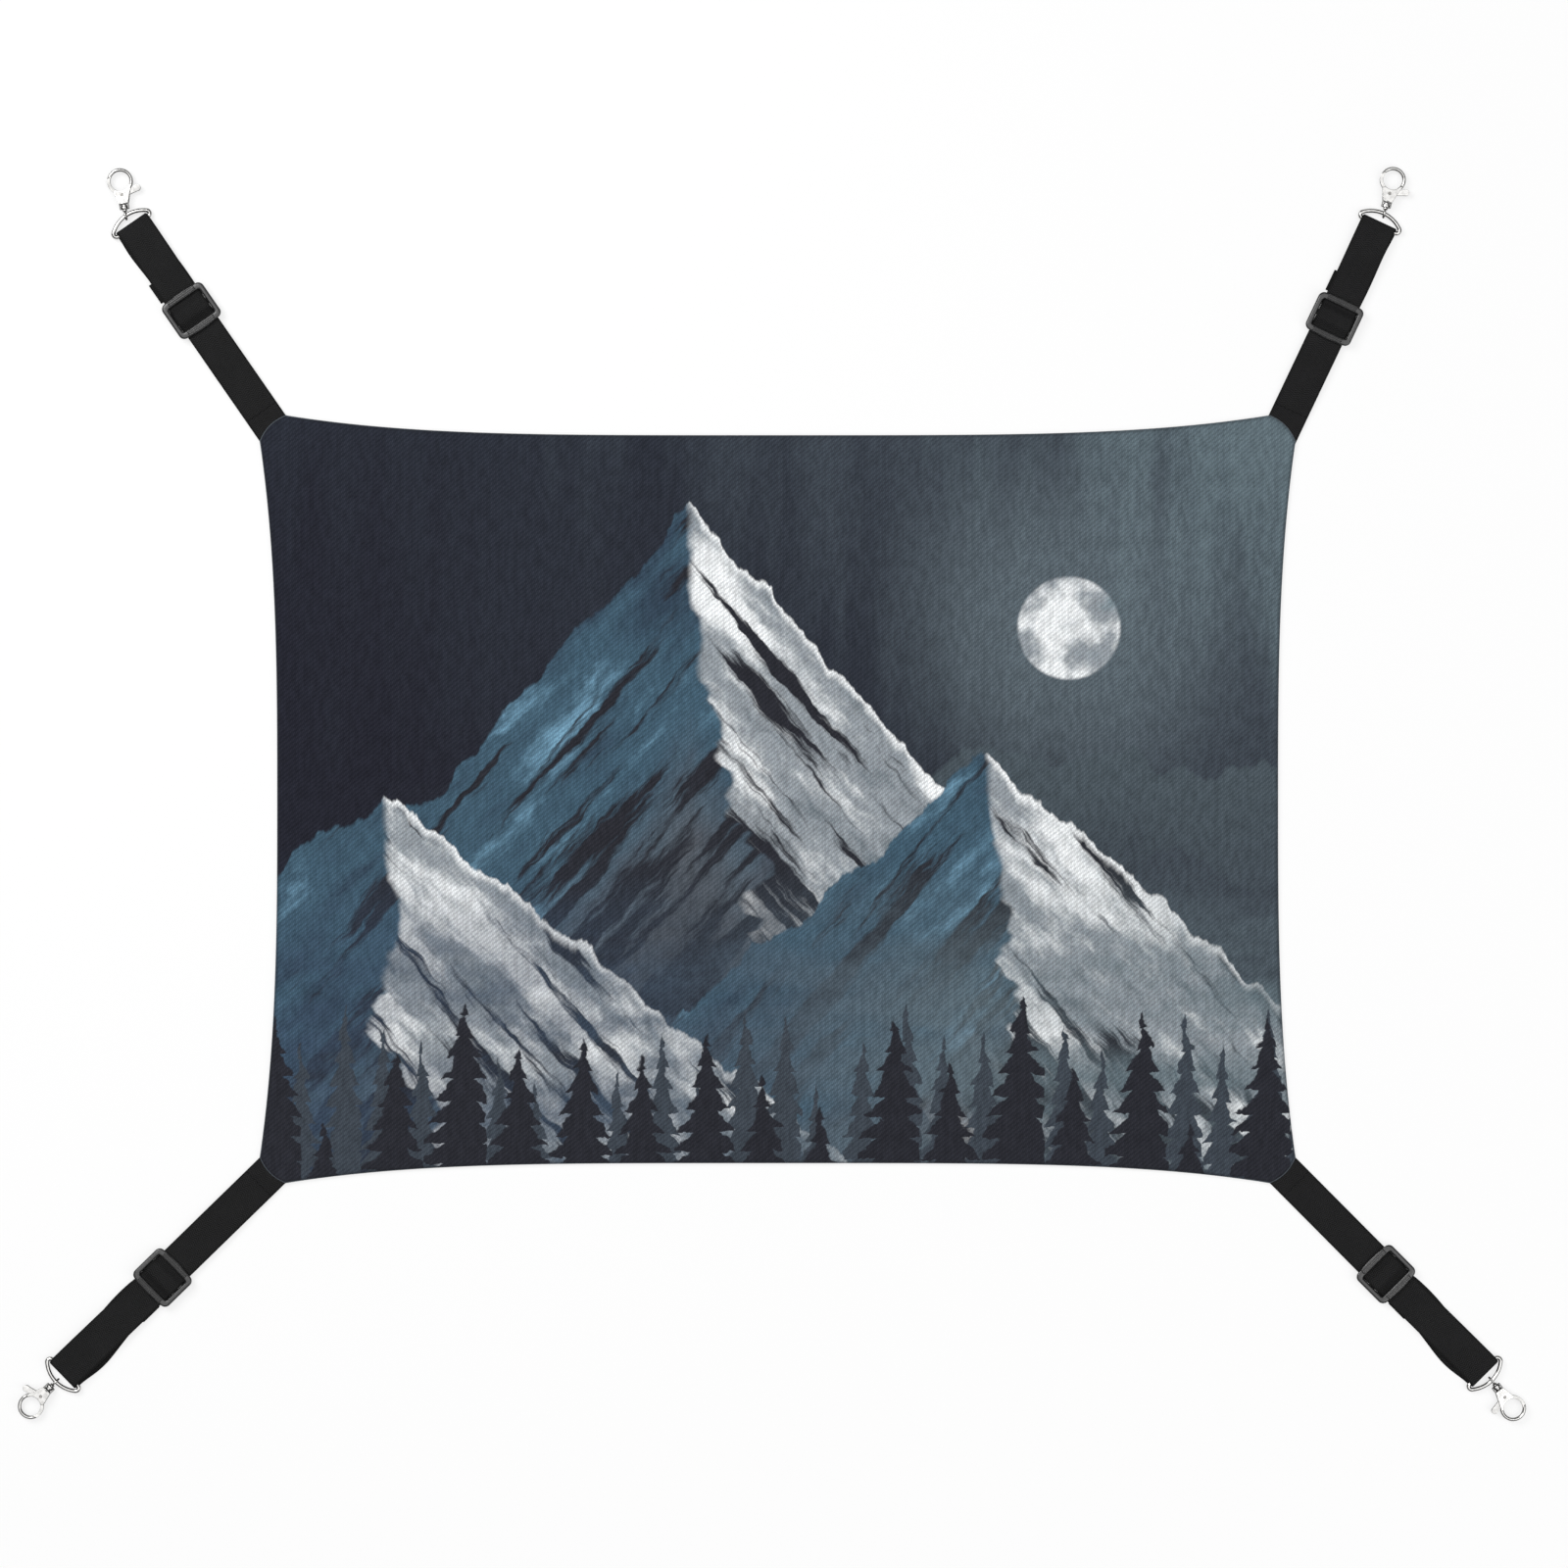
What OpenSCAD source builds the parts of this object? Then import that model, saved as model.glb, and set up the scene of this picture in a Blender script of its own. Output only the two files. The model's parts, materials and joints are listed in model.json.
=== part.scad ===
// Cat hammock laid out flat: a two-layer mat with an adjustable webbing strap at each corner.
// Millimetres, +Z up. The origin is the middle of the mat's underside, +X along its width.
// Four-value lists run back left, back right, front left, front right.

/* [Mat] */
// Width between the middles of the side edges
mat_w = 550; // [300:1:800]
// Depth between the middles of the front and back edges
mat_d = 400; // [250:1:600]
// Thickness of one fabric panel
panel_t = 1.4; // [1:0.1:3]
// How far the front and back edges curve out by the time they reach a corner
flare_d = 11; // [0:0.5:30]
// How far the side edges curve out by the time they reach a corner
flare_w = 9.6; // [0:0.2:30]
// How far the corner cuts bulge out at their middle
corner_bulge = 2.2; // [0:0.1:2.4]

/* [Straps] */
// Width of the webbing
strap_w = 20; // [15:0.5:30]
// Thickness of the webbing
strap_t = 1.2; // [0.8:0.1:2]
// Length of webbing sewn between the panels, in from the corner
tab_in = 25; // [15:1:40]
// Length of webbing from the corner out to the line where the strap bends
tab_out = 4.5; // [4:0.5:10]
// Length of the strap's sewn end that lies inside the loop
sewn_l = 15; // [10:1:20]
// Direction of each strap in degrees
strap_heading = [124.6, 64.7, 224.3, 314.8]; // [0:0.1:360]
// Distance from the corner to the middle of each slider
slider_reach = [78, 66, 84, 80]; // [60:0.5:100]
// Distance from the corner to the bar of each D-ring
ring_reach = [134.5, 123, 159, 155.5]; // [120:0.5:200]
// Turn of each clasp against its strap in degrees
clasp_yaw = [-25, 11, 0, -7]; // [-30:1:30]

/* [Slider] */
// Length along the strap, at the middle of the bowed ends
slider_l = 24; // [22:0.5:30]
// Length of the window that the strap passes through
window_l = 15.4; // [13:0.1:17]
// Width of a side rail
rail_w = 3.2; // [1.6:0.1:4]
// Thickness of an outer bar
crossbar_t = 2.1; // [1.2:0.1:3]
// Width of the middle bar
mid_bar_w = 3.2; // [2.2:0.1:4]
// Thickness of the middle bar
mid_bar_t = 1.8; // [1:0.1:2]
// Height that the middle bar lifts the webbing off the surface below
mid_bar_rise = 0.95; // [0.2:0.05:2]
// Radius of the outer corners
slider_corner_r = 3; // [1:0.1:4]
// How far the ends bow out at their middle
slider_bow = 1.3; // [0.4:0.1:1.6]
// Radius of a grip rib on an outer bar
grip_r = 0.35; // [0.2:0.05:0.6]
// Distance between grip ribs
grip_pitch = 1; // [0.8:0.1:1.2]

/* [D-ring] */
// Diameter of the wire
ring_wire_d = 2.2; // [1.6:0.1:2.6]
// Distance from the bar's axis to the axis of the arch
ring_depth = 7.2; // [6:0.1:12]
// Radius of the corners at the ends of the bar, on the wire's axis
ring_corner_r = 1.8; // [1.5:0.1:2.4]
// How much thicker the wire is at the bends, as a radius
ring_swell = 0.04; // [0.03:0.005:0.06]

/* [Swivel] */
// Diameter of the eye's wire
eye_wire_d = 1.1; // [0.8:0.05:1.4]
// Room for the D-ring's wire inside the eye, as a radius
eye_slack = 0.65; // [0.5:0.05:1]
// Radius of the neck below the eye
neck_r = 1.3; // [1.1:0.05:1.6]
// Radius of the post that the clasp turns on
post_r = 0.95; // [0.6:0.05:1.05]
// Radius of the post's riveted head
head_r = 1.6; // [1.2:0.05:1.8]
// Thickness of the post's head
head_t = 1; // [0.6:0.1:1.4]

/* [Clasp] */
// Distance from the eye's middle to the clasp's base
base_reach = 3.4; // [3.3:0.1:4]
// Radius of the collar round the swivel
collar_r = 2.7; // [2.5:0.05:2.8]
// Thickness of the collar's end wall
collar_wall = 1.3; // [0.8:0.1:2]
// Distance from the eye's middle to the trigger's pin
pin_reach = 11.2; // [10.8:0.1:12]
// Distance from the eye's middle to the middle of the hook
hook_reach = 19; // [18:0.1:21]
// Inner radius of the hook
hook_r = 5.3; // [4.5:0.1:6]
// Width of the hook's section, seen from above
hook_w = 1.8; // [1.2:0.1:2.4]
// Height of the hook's section
hook_h = 2.8; // [2.4:0.1:3.4]
// Distance from the pin to the face where hook and trigger meet
nose_r = 12; // [11:0.1:12.4]

/* [Trigger] */
// Thickness of the trigger
trigger_t = 1.9; // [1.6:0.1:2.1]
// Radius of the hub round the pin
hub_r = 2.2; // [2:0.1:2.4]
// Diameter of the pin
pin_d = 1.5; // [1:0.1:1.6]
// Length of the thumb tab from the pin
tab_l = 11; // [8:0.5:13]
// Width of the thumb tab at its end
tab_w = 3.6; // [2.6:0.1:4]
// Width of the thumb tab at the hub
tab_neck_w = 2.4; // [1.8:0.1:2.6]
// Direction of the thumb tab against the clasp's axis in degrees
tab_angle = -72.5; // [-78:0.5:-68]
// Angle that the trigger swings to open
trigger_travel = 24; // [10:1:28]
// Diameter of the spring's wire
spring_wire_d = 0.34; // [0.2:0.02:0.4]
// Turns of the spring
spring_turns = 2.25; // [1.25:1:2.25]

/* [Clearances] */
// Between layers of webbing that lie on each other
fold_gap = 0.05; // [0.02:0.01:0.2]
// Between the D-ring's bar and the webbing round it
wire_gap = 0.1; // [0.05:0.01:0.2]
// Between the webbing and the slider's rails, each side
rail_gap = 0.3; // [0.2:0.1:1]
// Between the webbing and the D-ring's sides, each side
ring_gap = 0.6; // [0.5:0.1:1]
// Between a pin and the hole that turns on it, as a radius
run_gap = 0.05; // [0.02:0.01:0.08]
// Round the trigger in its slot, above and below
slot_gap = 0.1; // [0.05:0.01:0.15]
// Round the trigger in its slot, at the sides, and at the hook's nose
gate_gap = 0.3; // [0.15:0.05:0.4]
// Between the eye and the surface below
floor_gap = 0.05; // [0:0.05:0.3]

/* [Hidden] */
$fn = 48;
CORNERS = ["back_left", "back_right", "front_left", "front_right"];
SIDES = [[-1, 1], [1, 1], [-1, -1], [1, -1]];
PIECES = ["strap_tab", "strap_run", "strap_wrap", "strap_loop", "slider", "d_ring", "swivel_eye",
          "clasp_body", "trigger", "trigger_pin", "trigger_spring"];

// Mat outline: each corner is cut square to its diagonal, as wide as the webbing
half_w = mat_w / 2;
half_d = mat_d / 2;
corner_cut = (strap_w + fold_gap) / sqrt(2);
tip_x = half_w + flare_w;
tip_y = half_d + flare_d;
end_x = tip_x - corner_cut;
end_y = tip_y - corner_cut;
corner_x = (tip_x + end_x) / 2;
corner_y = (tip_y + end_y) / 2;
edge_steps = 24;
corner_steps = 8;
bend_steps = 12;
edge_power = 4;
side_power = 3;

// Heights of the webbing's layers, each at the middle of its thickness
tab_z = panel_t;
return_z = strap_t / 2;
layer = strap_t + fold_gap;
sewn_z = return_z + layer;
front_z = sewn_z + layer;
crossbar_z = front_z + strap_t / 2 + fold_gap;
slider_top = crossbar_z + crossbar_t;
mid_bar_bottom = layer + mid_bar_rise;
mid_bar_z = mid_bar_bottom + mid_bar_t / 2;
mid_bar_flat = (mid_bar_w - mid_bar_t) / 2;
wrap_r = mid_bar_t / 2 + fold_gap + strap_t / 2;
hump_z = mid_bar_z + wrap_r + layer;
hump_l = (slider_l + window_l) / 4;
hump_flat = mid_bar_w / 2;
hump_fall = window_l / 2 - hump_flat;

// Slider
window_w = strap_w + 2 * rail_gap;
slider_w = window_w + 2 * rail_w;
window_corner_r = 1;
bow_r = (slider_w * slider_w / 4 + slider_bow * slider_bow) / (2 * slider_bow);

// D-ring: a straight bar, two corners and an arch that meets them smoothly
ring_r = ring_wire_d / 2;
ring_z = strap_t + wire_gap + ring_r;
fold_r = ring_r + wire_gap + strap_t / 2;
bar_half = strap_w / 2 + ring_gap + ring_r - ring_corner_r;
arch_r = (pow(ring_depth - ring_corner_r, 2) + pow(bar_half, 2) - pow(ring_corner_r, 2))
    / (2 * (ring_depth - 2 * ring_corner_r));
arch_x = ring_depth - arch_r;
arch_angle = atan2(bar_half, ring_corner_r - arch_x);
bend_bite = 0.15;

// Clasp
eye_hole_r = ring_r + eye_slack;
eye_r = eye_hole_r + eye_wire_d / 2;
eye_offset = 0.1;
clasp_z = eye_r + eye_wire_d / 2 + floor_gap;
cage_start = base_reach + collar_wall;
head_room = 0.5;
cage_end = cage_start + head_t + head_room;
cage_lip = 0.4;
collar_end = cage_end + cage_lip;
cheek_start = cage_end + cage_lip / 2;
cheek_start_half = collar_r - cage_lip / 2;
hook_out_r = hook_r + hook_w;
hub_room_r = hub_r + gate_gap;
tab_bite = 0.1;
cheek_end = hook_reach - hook_r / 2;
cheek_step = 0.3;
cheek_end_half_t = hook_h / 2 + cheek_step;
slot_t = trigger_t + 2 * slot_gap;
rivet_rise = 0.15;
pin_half_l = cheek_half_t(pin_reach) + rivet_rise;
spring_play = 0.3;
coil_gap = 0.08;
spring_r = pin_d / 2 + spring_play + spring_wire_d / 2;
spring_pocket_r = spring_r + spring_wire_d / 2 + spring_play;
spring_pitch = spring_wire_d + coil_gap;
spring_pocket_depth = (spring_turns + 1) * spring_pitch;

// Directions from the middle of the hook, in degrees: the hook's ring, the cheeks and the trigger's finger
hook_from = -136;
hook_to = 80;
cheek_right = [-128, -113];
cheek_left = 140;
finger_from = 148;
finger_to = 30;
web_outer = 147;
web_inner = 132;

function unit(v) = v / norm(v);
function left_of(v) = [-v[1], v[0]];
function ray(angle, length) = length * [cos(angle), sin(angle)];
// Swell of the webbing over the middle bar: 1 on the bar, falling to 0 under the outer bars
function swell_angle(d) = 180 * min(max(abs(d) - hump_flat, 0) / hump_fall, 1);
function swell(d) = 0.5 + 0.5 * cos(swell_angle(d));
function swell_slope(d) = -sign(d) * 0.5 * sin(swell_angle(d)) * PI / hump_fall;
function hump(d) = front_z + (hump_z - front_z) * swell(d);
function hump_slope(d) = (hump_z - front_z) * swell_slope(d);
function cheek_half_t(p) = cheek_start_half
    + (cheek_end_half_t - cheek_start_half) * (p - cheek_start) / (cheek_end - cheek_start);

// Direction of a path at point i, halfway between the stretches before and after it
function before(path, i) = unit(path[max(i, 1)] - path[max(i, 1) - 1]);
function after(path, i) = unit(path[min(i, len(path) - 2) + 1] - path[min(i, len(path) - 2)]);
function along(path, i) = unit(before(path, i) + after(path, i));
function edge_point(path, i, side) =
    path[i] + side * left_of(along(path, i)) * strap_t / 2 / (along(path, i) * after(path, i));
// Outline of webbing seen edge on, along a path in its thickness
function ribbon(path) = concat(
    [for (i = [0 : len(path) - 1]) edge_point(path, i, 1)],
    [for (i = [len(path) - 1 : -1 : 0]) edge_point(path, i, -1)]);
function arc_points(middle, radius, from, to, steps) =
    [for (i = [0 : steps]) middle + ray(from + (to - from) * i / steps, radius)];

// Tube along a path, with rings of six points
tube_sides = 6;
function tangent(path, i) = unit(path[min(i + 1, len(path) - 1)] - path[max(i - 1, 0)]);
function ring_points(path, i, radius) =
    let (t = tangent(path, i), n = unit(cross(t, [0, 0, 1])), b = cross(n, t))
    [for (k = [0 : tube_sides - 1])
        path[i] + radius * (cos(360 * k / tube_sides) * n + sin(360 * k / tube_sides) * b)];
module tube(path, radius) {
    last = len(path) - 1;
    points = [for (i = [0 : last]) each ring_points(path, i, radius)];
    walls = [for (i = [0 : last - 1], k = [0 : tube_sides - 1])
        let (a = i * tube_sides + k, b = i * tube_sides + (k + 1) % tube_sides)
        each [[a, b, a + tube_sides], [b, b + tube_sides, a + tube_sides]]];
    near_cap = [for (k = [1 : tube_sides - 2]) [0, k + 1, k]];
    far = last * tube_sides;
    far_cap = [for (k = [1 : tube_sides - 2]) [far, far + k, far + k + 1]];
    polyhedron(points, concat(walls, near_cap, far_cap));
}

// Places a piece on corner i, with X along its strap and Z = 0 on the surface below
module at_corner(i) {
    translate([SIDES[i][0] * corner_x, SIDES[i][1] * corner_y, 0]) rotate(strap_heading[i]) children();
}

// Places a piece on the D-ring of corner i, with X along the strap from the bar's axis
module at_ring(i) {
    at_corner(i) translate([ring_reach[i], 0, ring_z]) children();
}

// Places a piece on the clasp of corner i, with X along the clasp from the eye's middle
module at_clasp(i) {
    at_ring(i) translate([ring_depth, 0, clasp_z - ring_z]) rotate(clasp_yaw[i])
        translate([eye_offset, 0, 0]) children();
}

// Webbing whose edge follows a path in X and Z
module webbing(path) {
    rotate([90, 0, 0]) linear_extrude(strap_w, center = true) polygon(ribbon(path));
}

// Points of a corner cut between its ends, on a curve that bulges to the right
function corner_curve(from, to) =
    [for (k = [1 : corner_steps - 1]) let (p = k / corner_steps)
        from + (to - from) * p - left_of(unit(to - from)) * corner_bulge * 4 * p * (1 - p)];

// Outline of the mat: four hollow edges between rounded corner cuts
module mat_outline() {
    steps = [for (i = [0 : edge_steps]) -1 + 2 * i / edge_steps];
    back = [for (s = steps) [-s * end_x, half_d + flare_d * pow(abs(s), edge_power)]];
    left = [for (s = steps) [-half_w - flare_w * pow(abs(s), side_power), -s * end_y]];
    half = concat(back, corner_curve([-end_x, tip_y], [-tip_x, end_y]),
                  left, corner_curve([-tip_x, -end_y], [-end_x, -tip_y]));
    polygon(concat(half, -half));
}

// Room between the panels for the sewn end of every strap
module tab_pockets() {
    for (i = [0 : 3])
        at_corner(i) translate([-tab_in - fold_gap, -strap_w / 2 - fold_gap, tab_z - layer / 2])
            cube([tab_in + tab_out + strap_w, strap_w + 2 * fold_gap, layer]);
}

module mat_top() {
    color("slategray") difference() {
        translate([0, 0, panel_t]) linear_extrude(panel_t) mat_outline();
        tab_pockets();
    }
}

module mat_back() {
    color("dimgray") difference() {
        linear_extrude(panel_t) mat_outline();
        tab_pockets();
    }
}

// Sewn end of the strap, out to just short of the line where the strap bends
module strap_tab(i) {
    length = tab_in + tab_out - strap_t / 2 - fold_gap;
    color("black") at_corner(i) translate([-tab_in, -strap_w / 2, tab_z - strap_t / 2])
        cube([length, strap_w, strap_t]);
}

// Single webbing from the bend to the slider, with a round edge to turn on
module strap_run(i) {
    bend = [tab_out, tab_z];
    far = [slider_reach[i] - hump_l - fold_gap, front_z];
    slope = atan2(far[1] - bend[1], far[0] - bend[0]);
    side = ray(slope + 90, strap_t / 2);
    round_end = arc_points(bend, strap_t / 2, slope + 90, slope + 270, bend_steps);
    color("black") at_corner(i) rotate([90, 0, 0]) linear_extrude(strap_w, center = true)
        polygon(concat(round_end, [far - side, far + side]));
}

// Webbing over the slider's middle bar, and the strap's end, which turns back round that bar
module strap_wrap(i) {
    steps = 12;
    over = [for (k = [-steps : steps]) let (d = hump_l * k / steps) [d, hump(d)]];
    down = [for (k = [steps : -1 : 0])
        let (d = hump_l * k / steps, s = hump_slope(d)) [d, hump(d)] + layer * unit([s, -1])];
    round = arc_points([-mid_bar_flat, mid_bar_z], wrap_r, 90, 270, steps);
    low = mid_bar_z - wrap_r;
    under = [for (k = [1 : steps])
        let (d = hump_l * k / steps) [d, return_z + (low - return_z) * swell(d)]];
    color("black") at_corner(i) translate([slider_reach[i], 0, 0]) {
        webbing(over);
        webbing(concat(down, round, under));
    }
}

// Webbing from the slider round the D-ring's bar and back, with the strap's end sewn inside it
module strap_loop(i) {
    steps = 8;
    start = slider_reach[i] + hump_l + fold_gap;
    length = ring_reach[i] - start;
    rise = ring_z + fold_r - front_z;
    front = [for (k = [0 : steps - 1])
        [start + length * k / steps, front_z + rise * (1 - cos(180 * k / steps)) / 2]];
    fold = arc_points([ring_reach[i], ring_z], fold_r, 90, -90, 2 * steps);
    color("black") at_corner(i) union() {
        webbing(concat(front, fold, [[start, return_z]]));
        translate([start, -strap_w / 2, strap_t]) cube([sewn_l, strap_w, sewn_z + strap_t / 2 - strap_t]);
    }
}

module rounded_plate(length, width, radius) {
    square([length - 2 * radius, width], center = true);
    square([length, width - 2 * radius], center = true);
    for (x = [-1, 1], y = [-1, 1])
        translate([x * (length / 2 - radius), y * (width / 2 - radius)]) circle(radius);
}

// Outline of the slider: round corners and bowed ends
module slider_outline() {
    intersection() {
        rounded_plate(slider_l, slider_w, slider_corner_r);
        translate([bow_r - slider_l / 2, 0]) circle(bow_r, $fn = 200);
        translate([slider_l / 2 - bow_r, 0]) circle(bow_r, $fn = 200);
    }
}

// Three-bar adjuster: the outer bars lie on the webbing, and the middle bar is set lower
module slider(i) {
    crossbar_w = (slider_l - window_l) / 2;
    rail_l = window_l + crossbar_w / 2;
    grip_l = strap_w - 2 * slider_bow;
    color("darkslategray") at_corner(i) translate([slider_reach[i], 0, 0]) union() {
        translate([0, 0, crossbar_z]) linear_extrude(crossbar_t) difference() {
            slider_outline();
            rounded_plate(window_l, window_w, window_corner_r);
        }
        for (side = [-1, 1])
            translate([-rail_l / 2, side * (window_w + rail_w) / 2 - rail_w / 2, mid_bar_bottom])
                cube([rail_l, rail_w, slider_top - mid_bar_bottom]);
        for (side = [-1, 1])
            translate([side * mid_bar_flat, 0, mid_bar_z]) rotate([90, 0, 0])
                cylinder(d = mid_bar_t, h = window_w + rail_w, center = true);
        translate([-mid_bar_flat, -(window_w + rail_w) / 2, mid_bar_bottom])
            cube([2 * mid_bar_flat, window_w + rail_w, mid_bar_t]);
        for (side = [-1, 1], rib = [-1, 0, 1])
            translate([side * (window_l + crossbar_w) / 2 + rib * grip_pitch, 0, slider_top])
                rotate([90, 0, 0]) cylinder(r = grip_r, h = grip_l, center = true);
    }
}

// Part of a ring of wire about the Z axis
module wire_arc(radius, wire_r, from, to) {
    rotate(from) rotate_extrude(angle = to - from) translate([radius, 0]) circle(wire_r);
}

// Bent wire: the bar and the arch run a little way into the corners, where the wire is thicker
module d_ring(i) {
    bend_r = ring_r + ring_swell;
    arch_half = arch_angle + asin(bend_bite / arch_r);
    color("silver") at_ring(i) union() {
        rotate([90, 0, 0]) cylinder(r = ring_r, h = 2 * (bar_half + bend_bite), center = true);
        translate([arch_x, 0, 0]) wire_arc(arch_r, ring_r, -arch_half, arch_half);
        translate([ring_corner_r, bar_half, 0]) wire_arc(ring_corner_r, bend_r, arch_angle, 180);
        translate([ring_corner_r, -bar_half, 0]) wire_arc(ring_corner_r, bend_r, 180, 360 - arch_angle);
    }
}

// A round bar along X from one place to another
module shaft(from, to, radius) {
    translate([from, 0, 0]) rotate([0, 90, 0]) cylinder(r = radius, h = to - from);
}

// Ring that hangs on the D-ring, with a neck and a headed post that the clasp turns on
module swivel_eye(i) {
    color("silver") at_clasp(i) union() {
        rotate([90, 0, 0]) rotate_extrude() translate([eye_r, 0]) circle(d = eye_wire_d);
        shaft(eye_hole_r + eye_wire_d / 3, base_reach - run_gap, neck_r);
        shaft(eye_r, cage_start + run_gap + head_t / 2, post_r);
        shaft(cage_start + run_gap, cage_start + run_gap + head_t, head_r);
    }
}

// Cheeks of the clasp, seen from above, closed round the base of the hook
module cheek_outline() {
    middle = [hook_reach, 0];
    edge_r = hook_out_r - hook_w / 8;
    difference() {
        polygon([
            [cheek_start, -cheek_start_half],
            middle + ray(cheek_right[0], edge_r),
            middle + ray(cheek_right[1], edge_r),
            [cheek_end, 0],
            middle + ray(cheek_left, edge_r),
            [cheek_start, cheek_start_half]
        ]);
        translate(middle) circle(hook_r + hook_w / 8);
    }
}

// Cheeks taper in thickness from the collar to the hook
module cheeks() {
    intersection() {
        linear_extrude(2 * collar_r, center = true) cheek_outline();
        rotate([90, 0, 0]) linear_extrude(3 * hook_out_r, center = true) polygon([
            [cheek_start, -cheek_start_half],
            [cheek_end, -cheek_end_half_t],
            [cheek_end, cheek_end_half_t],
            [cheek_start, cheek_start_half]
        ]);
    }
}

// Hook with flat sides and round edges, which ends on the face that the trigger swings past
module hook() {
    flat = (hook_h - hook_w) / 2;
    difference() {
        translate([hook_reach, 0, 0]) rotate(hook_from) rotate_extrude(angle = hook_to - hook_from)
            translate([hook_r + hook_w / 2, 0]) {
                translate([0, flat]) circle(d = hook_w);
                translate([0, -flat]) circle(d = hook_w);
                square([hook_w, 2 * flat], center = true);
            }
        intersection() {
            translate([pin_reach, 0, 0]) cylinder(r = nose_r, h = 2 * hook_h, center = true);
            translate([pin_reach, hook_r / 3, -hook_h]) cube([nose_r, nose_r, 2 * hook_h]);
        }
    }
}

// Room for the trigger between the cheeks, over its whole swing
module trigger_slot() {
    far = hook_out_r + hook_w;
    half = tab_w / 2 + gate_gap;
    open_angle = tab_angle - trigger_travel;
    translate([pin_reach, 0, 0]) linear_extrude(slot_t, center = true) {
        circle(hub_room_r);
        polygon([
            left_of(ray(open_angle, -half)),
            ray(open_angle, far) + left_of(ray(open_angle, -half)),
            ray(tab_angle, far) + left_of(ray(tab_angle, half)),
            left_of(ray(tab_angle, half))
        ]);
        polygon([
            [-hub_room_r, 0],
            [hub_room_r, -hook_r / 4],
            [far, -hook_r / 4],
            [far, far],
            [-hub_room_r, far]
        ]);
    }
}

module clasp_body(i) {
    color("silver") at_clasp(i) difference() {
        union() {
            shaft(base_reach, collar_end, collar_r);
            cheeks();
            hook();
        }
        shaft(base_reach - 1, cage_start, post_r + run_gap);
        translate([cage_start, -head_r - gate_gap, -collar_r - 1])
            cube([cage_end - cage_start, 2 * (head_r + gate_gap), 2 * collar_r + 2]);
        trigger_slot();
        translate([pin_reach, 0, 0]) cylinder(d = pin_d, h = 3 * collar_r, center = true);
    }
}

// Finger of the trigger: the part of the hook's ring that lies within its swing
module finger_outline() {
    middle = [hook_reach, 0];
    intersection() {
        translate(middle) difference() {
            circle(hook_out_r);
            circle(hook_r);
        }
        translate([pin_reach, 0]) circle(nose_r - gate_gap / 2);
        polygon([
            middle + ray(finger_from, hook_r / 2),
            middle + ray(finger_from, 2 * hook_out_r),
            middle + ray((finger_from + finger_to) / 2, 2 * hook_out_r),
            middle + ray(finger_to, 2 * hook_out_r),
            middle + ray(finger_to, hook_r / 2)
        ]);
    }
}

// Web between the trigger's hub and its finger
module web_outline() {
    polygon([
        [pin_reach - hub_r / 2, hub_r / 2],
        [pin_reach - hub_r / 4, hub_r],
        [hook_reach, 0] + ray(web_outer, hook_out_r - hook_w / 4),
        [hook_reach, 0] + ray(web_inner, hook_r + hook_w / 4),
        [pin_reach + hub_r * 3 / 4, hub_r / 2],
        [pin_reach + hub_r / 2, 0]
    ]);
}

// Thumb tab, which widens from the hub to its round end
module tab_outline() {
    end_half = tab_w / 2 - tab_bite;
    polygon([
        [0, -tab_neck_w / 2],
        [tab_l - tab_w / 2, -end_half],
        [tab_l - tab_w / 2, end_half],
        [0, tab_neck_w / 2]
    ]);
}

// Gate of the clasp: hub, thumb tab, and a finger that closes the hook
module trigger(i) {
    pocket_z = -trigger_t / 2;
    color("silver") at_clasp(i) difference() {
        union() {
            linear_extrude(trigger_t, center = true) finger_outline();
            linear_extrude(trigger_t, center = true) web_outline();
            translate([pin_reach, 0, 0]) {
                cylinder(r = hub_r, h = trigger_t, center = true);
                rotate(tab_angle) linear_extrude(trigger_t, center = true) tab_outline();
                rotate(tab_angle) translate([tab_l - tab_w / 2, 0, 0])
                    cylinder(d = tab_w, h = trigger_t, center = true);
            }
        }
        translate([pin_reach, 0, 0]) {
            cylinder(r = pin_d / 2 + run_gap, h = 2 * trigger_t, center = true);
            translate([0, 0, pocket_z - 1]) cylinder(r = spring_pocket_r, h = spring_pocket_depth + 1);
            // Way out for the spring's leg, wide enough for the whole swing
            translate([-2 * hub_r, -hub_r, pocket_z - 1])
                cube([2 * hub_r, hub_r, spring_pocket_depth + 1]);
        }
    }
}

module trigger_pin(i) {
    color("dimgray") at_clasp(i) translate([pin_reach, 0, 0])
        cylinder(d = pin_d, h = 2 * pin_half_l, center = true);
}

// Coil round the pin, in the trigger's pocket, with a leg that bears on the clasp
module trigger_spring(i) {
    turn_steps = 14;
    count = round(spring_turns * turn_steps);
    low = -trigger_t / 2 + spring_wire_d / 2;
    coil = [for (k = [0 : count]) let (a = -90 + 360 * k / turn_steps)
        [spring_r * cos(a), spring_r * sin(a), low + spring_pitch * k / turn_steps]];
    wall = sqrt(pow(hub_room_r, 2) - pow(spring_r + spring_wire_d / 2, 2));
    leg = [run_gap - wall, -spring_r, low];
    color("gray") at_clasp(i) translate([pin_reach, 0, 0])
        tube(concat([leg], coil), spring_wire_d / 2);
}

mat_top();
mat_back();
for (i = [0 : 3]) {
    strap_tab(i);
    strap_run(i);
    strap_wrap(i);
    strap_loop(i);
    slider(i);
    d_ring(i);
    swivel_eye(i);
    clasp_body(i);
    trigger(i);
    trigger_pin(i);
    trigger_spring(i);
}
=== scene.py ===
import json
import math

import bmesh
import bpy
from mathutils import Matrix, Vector, noise


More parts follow.
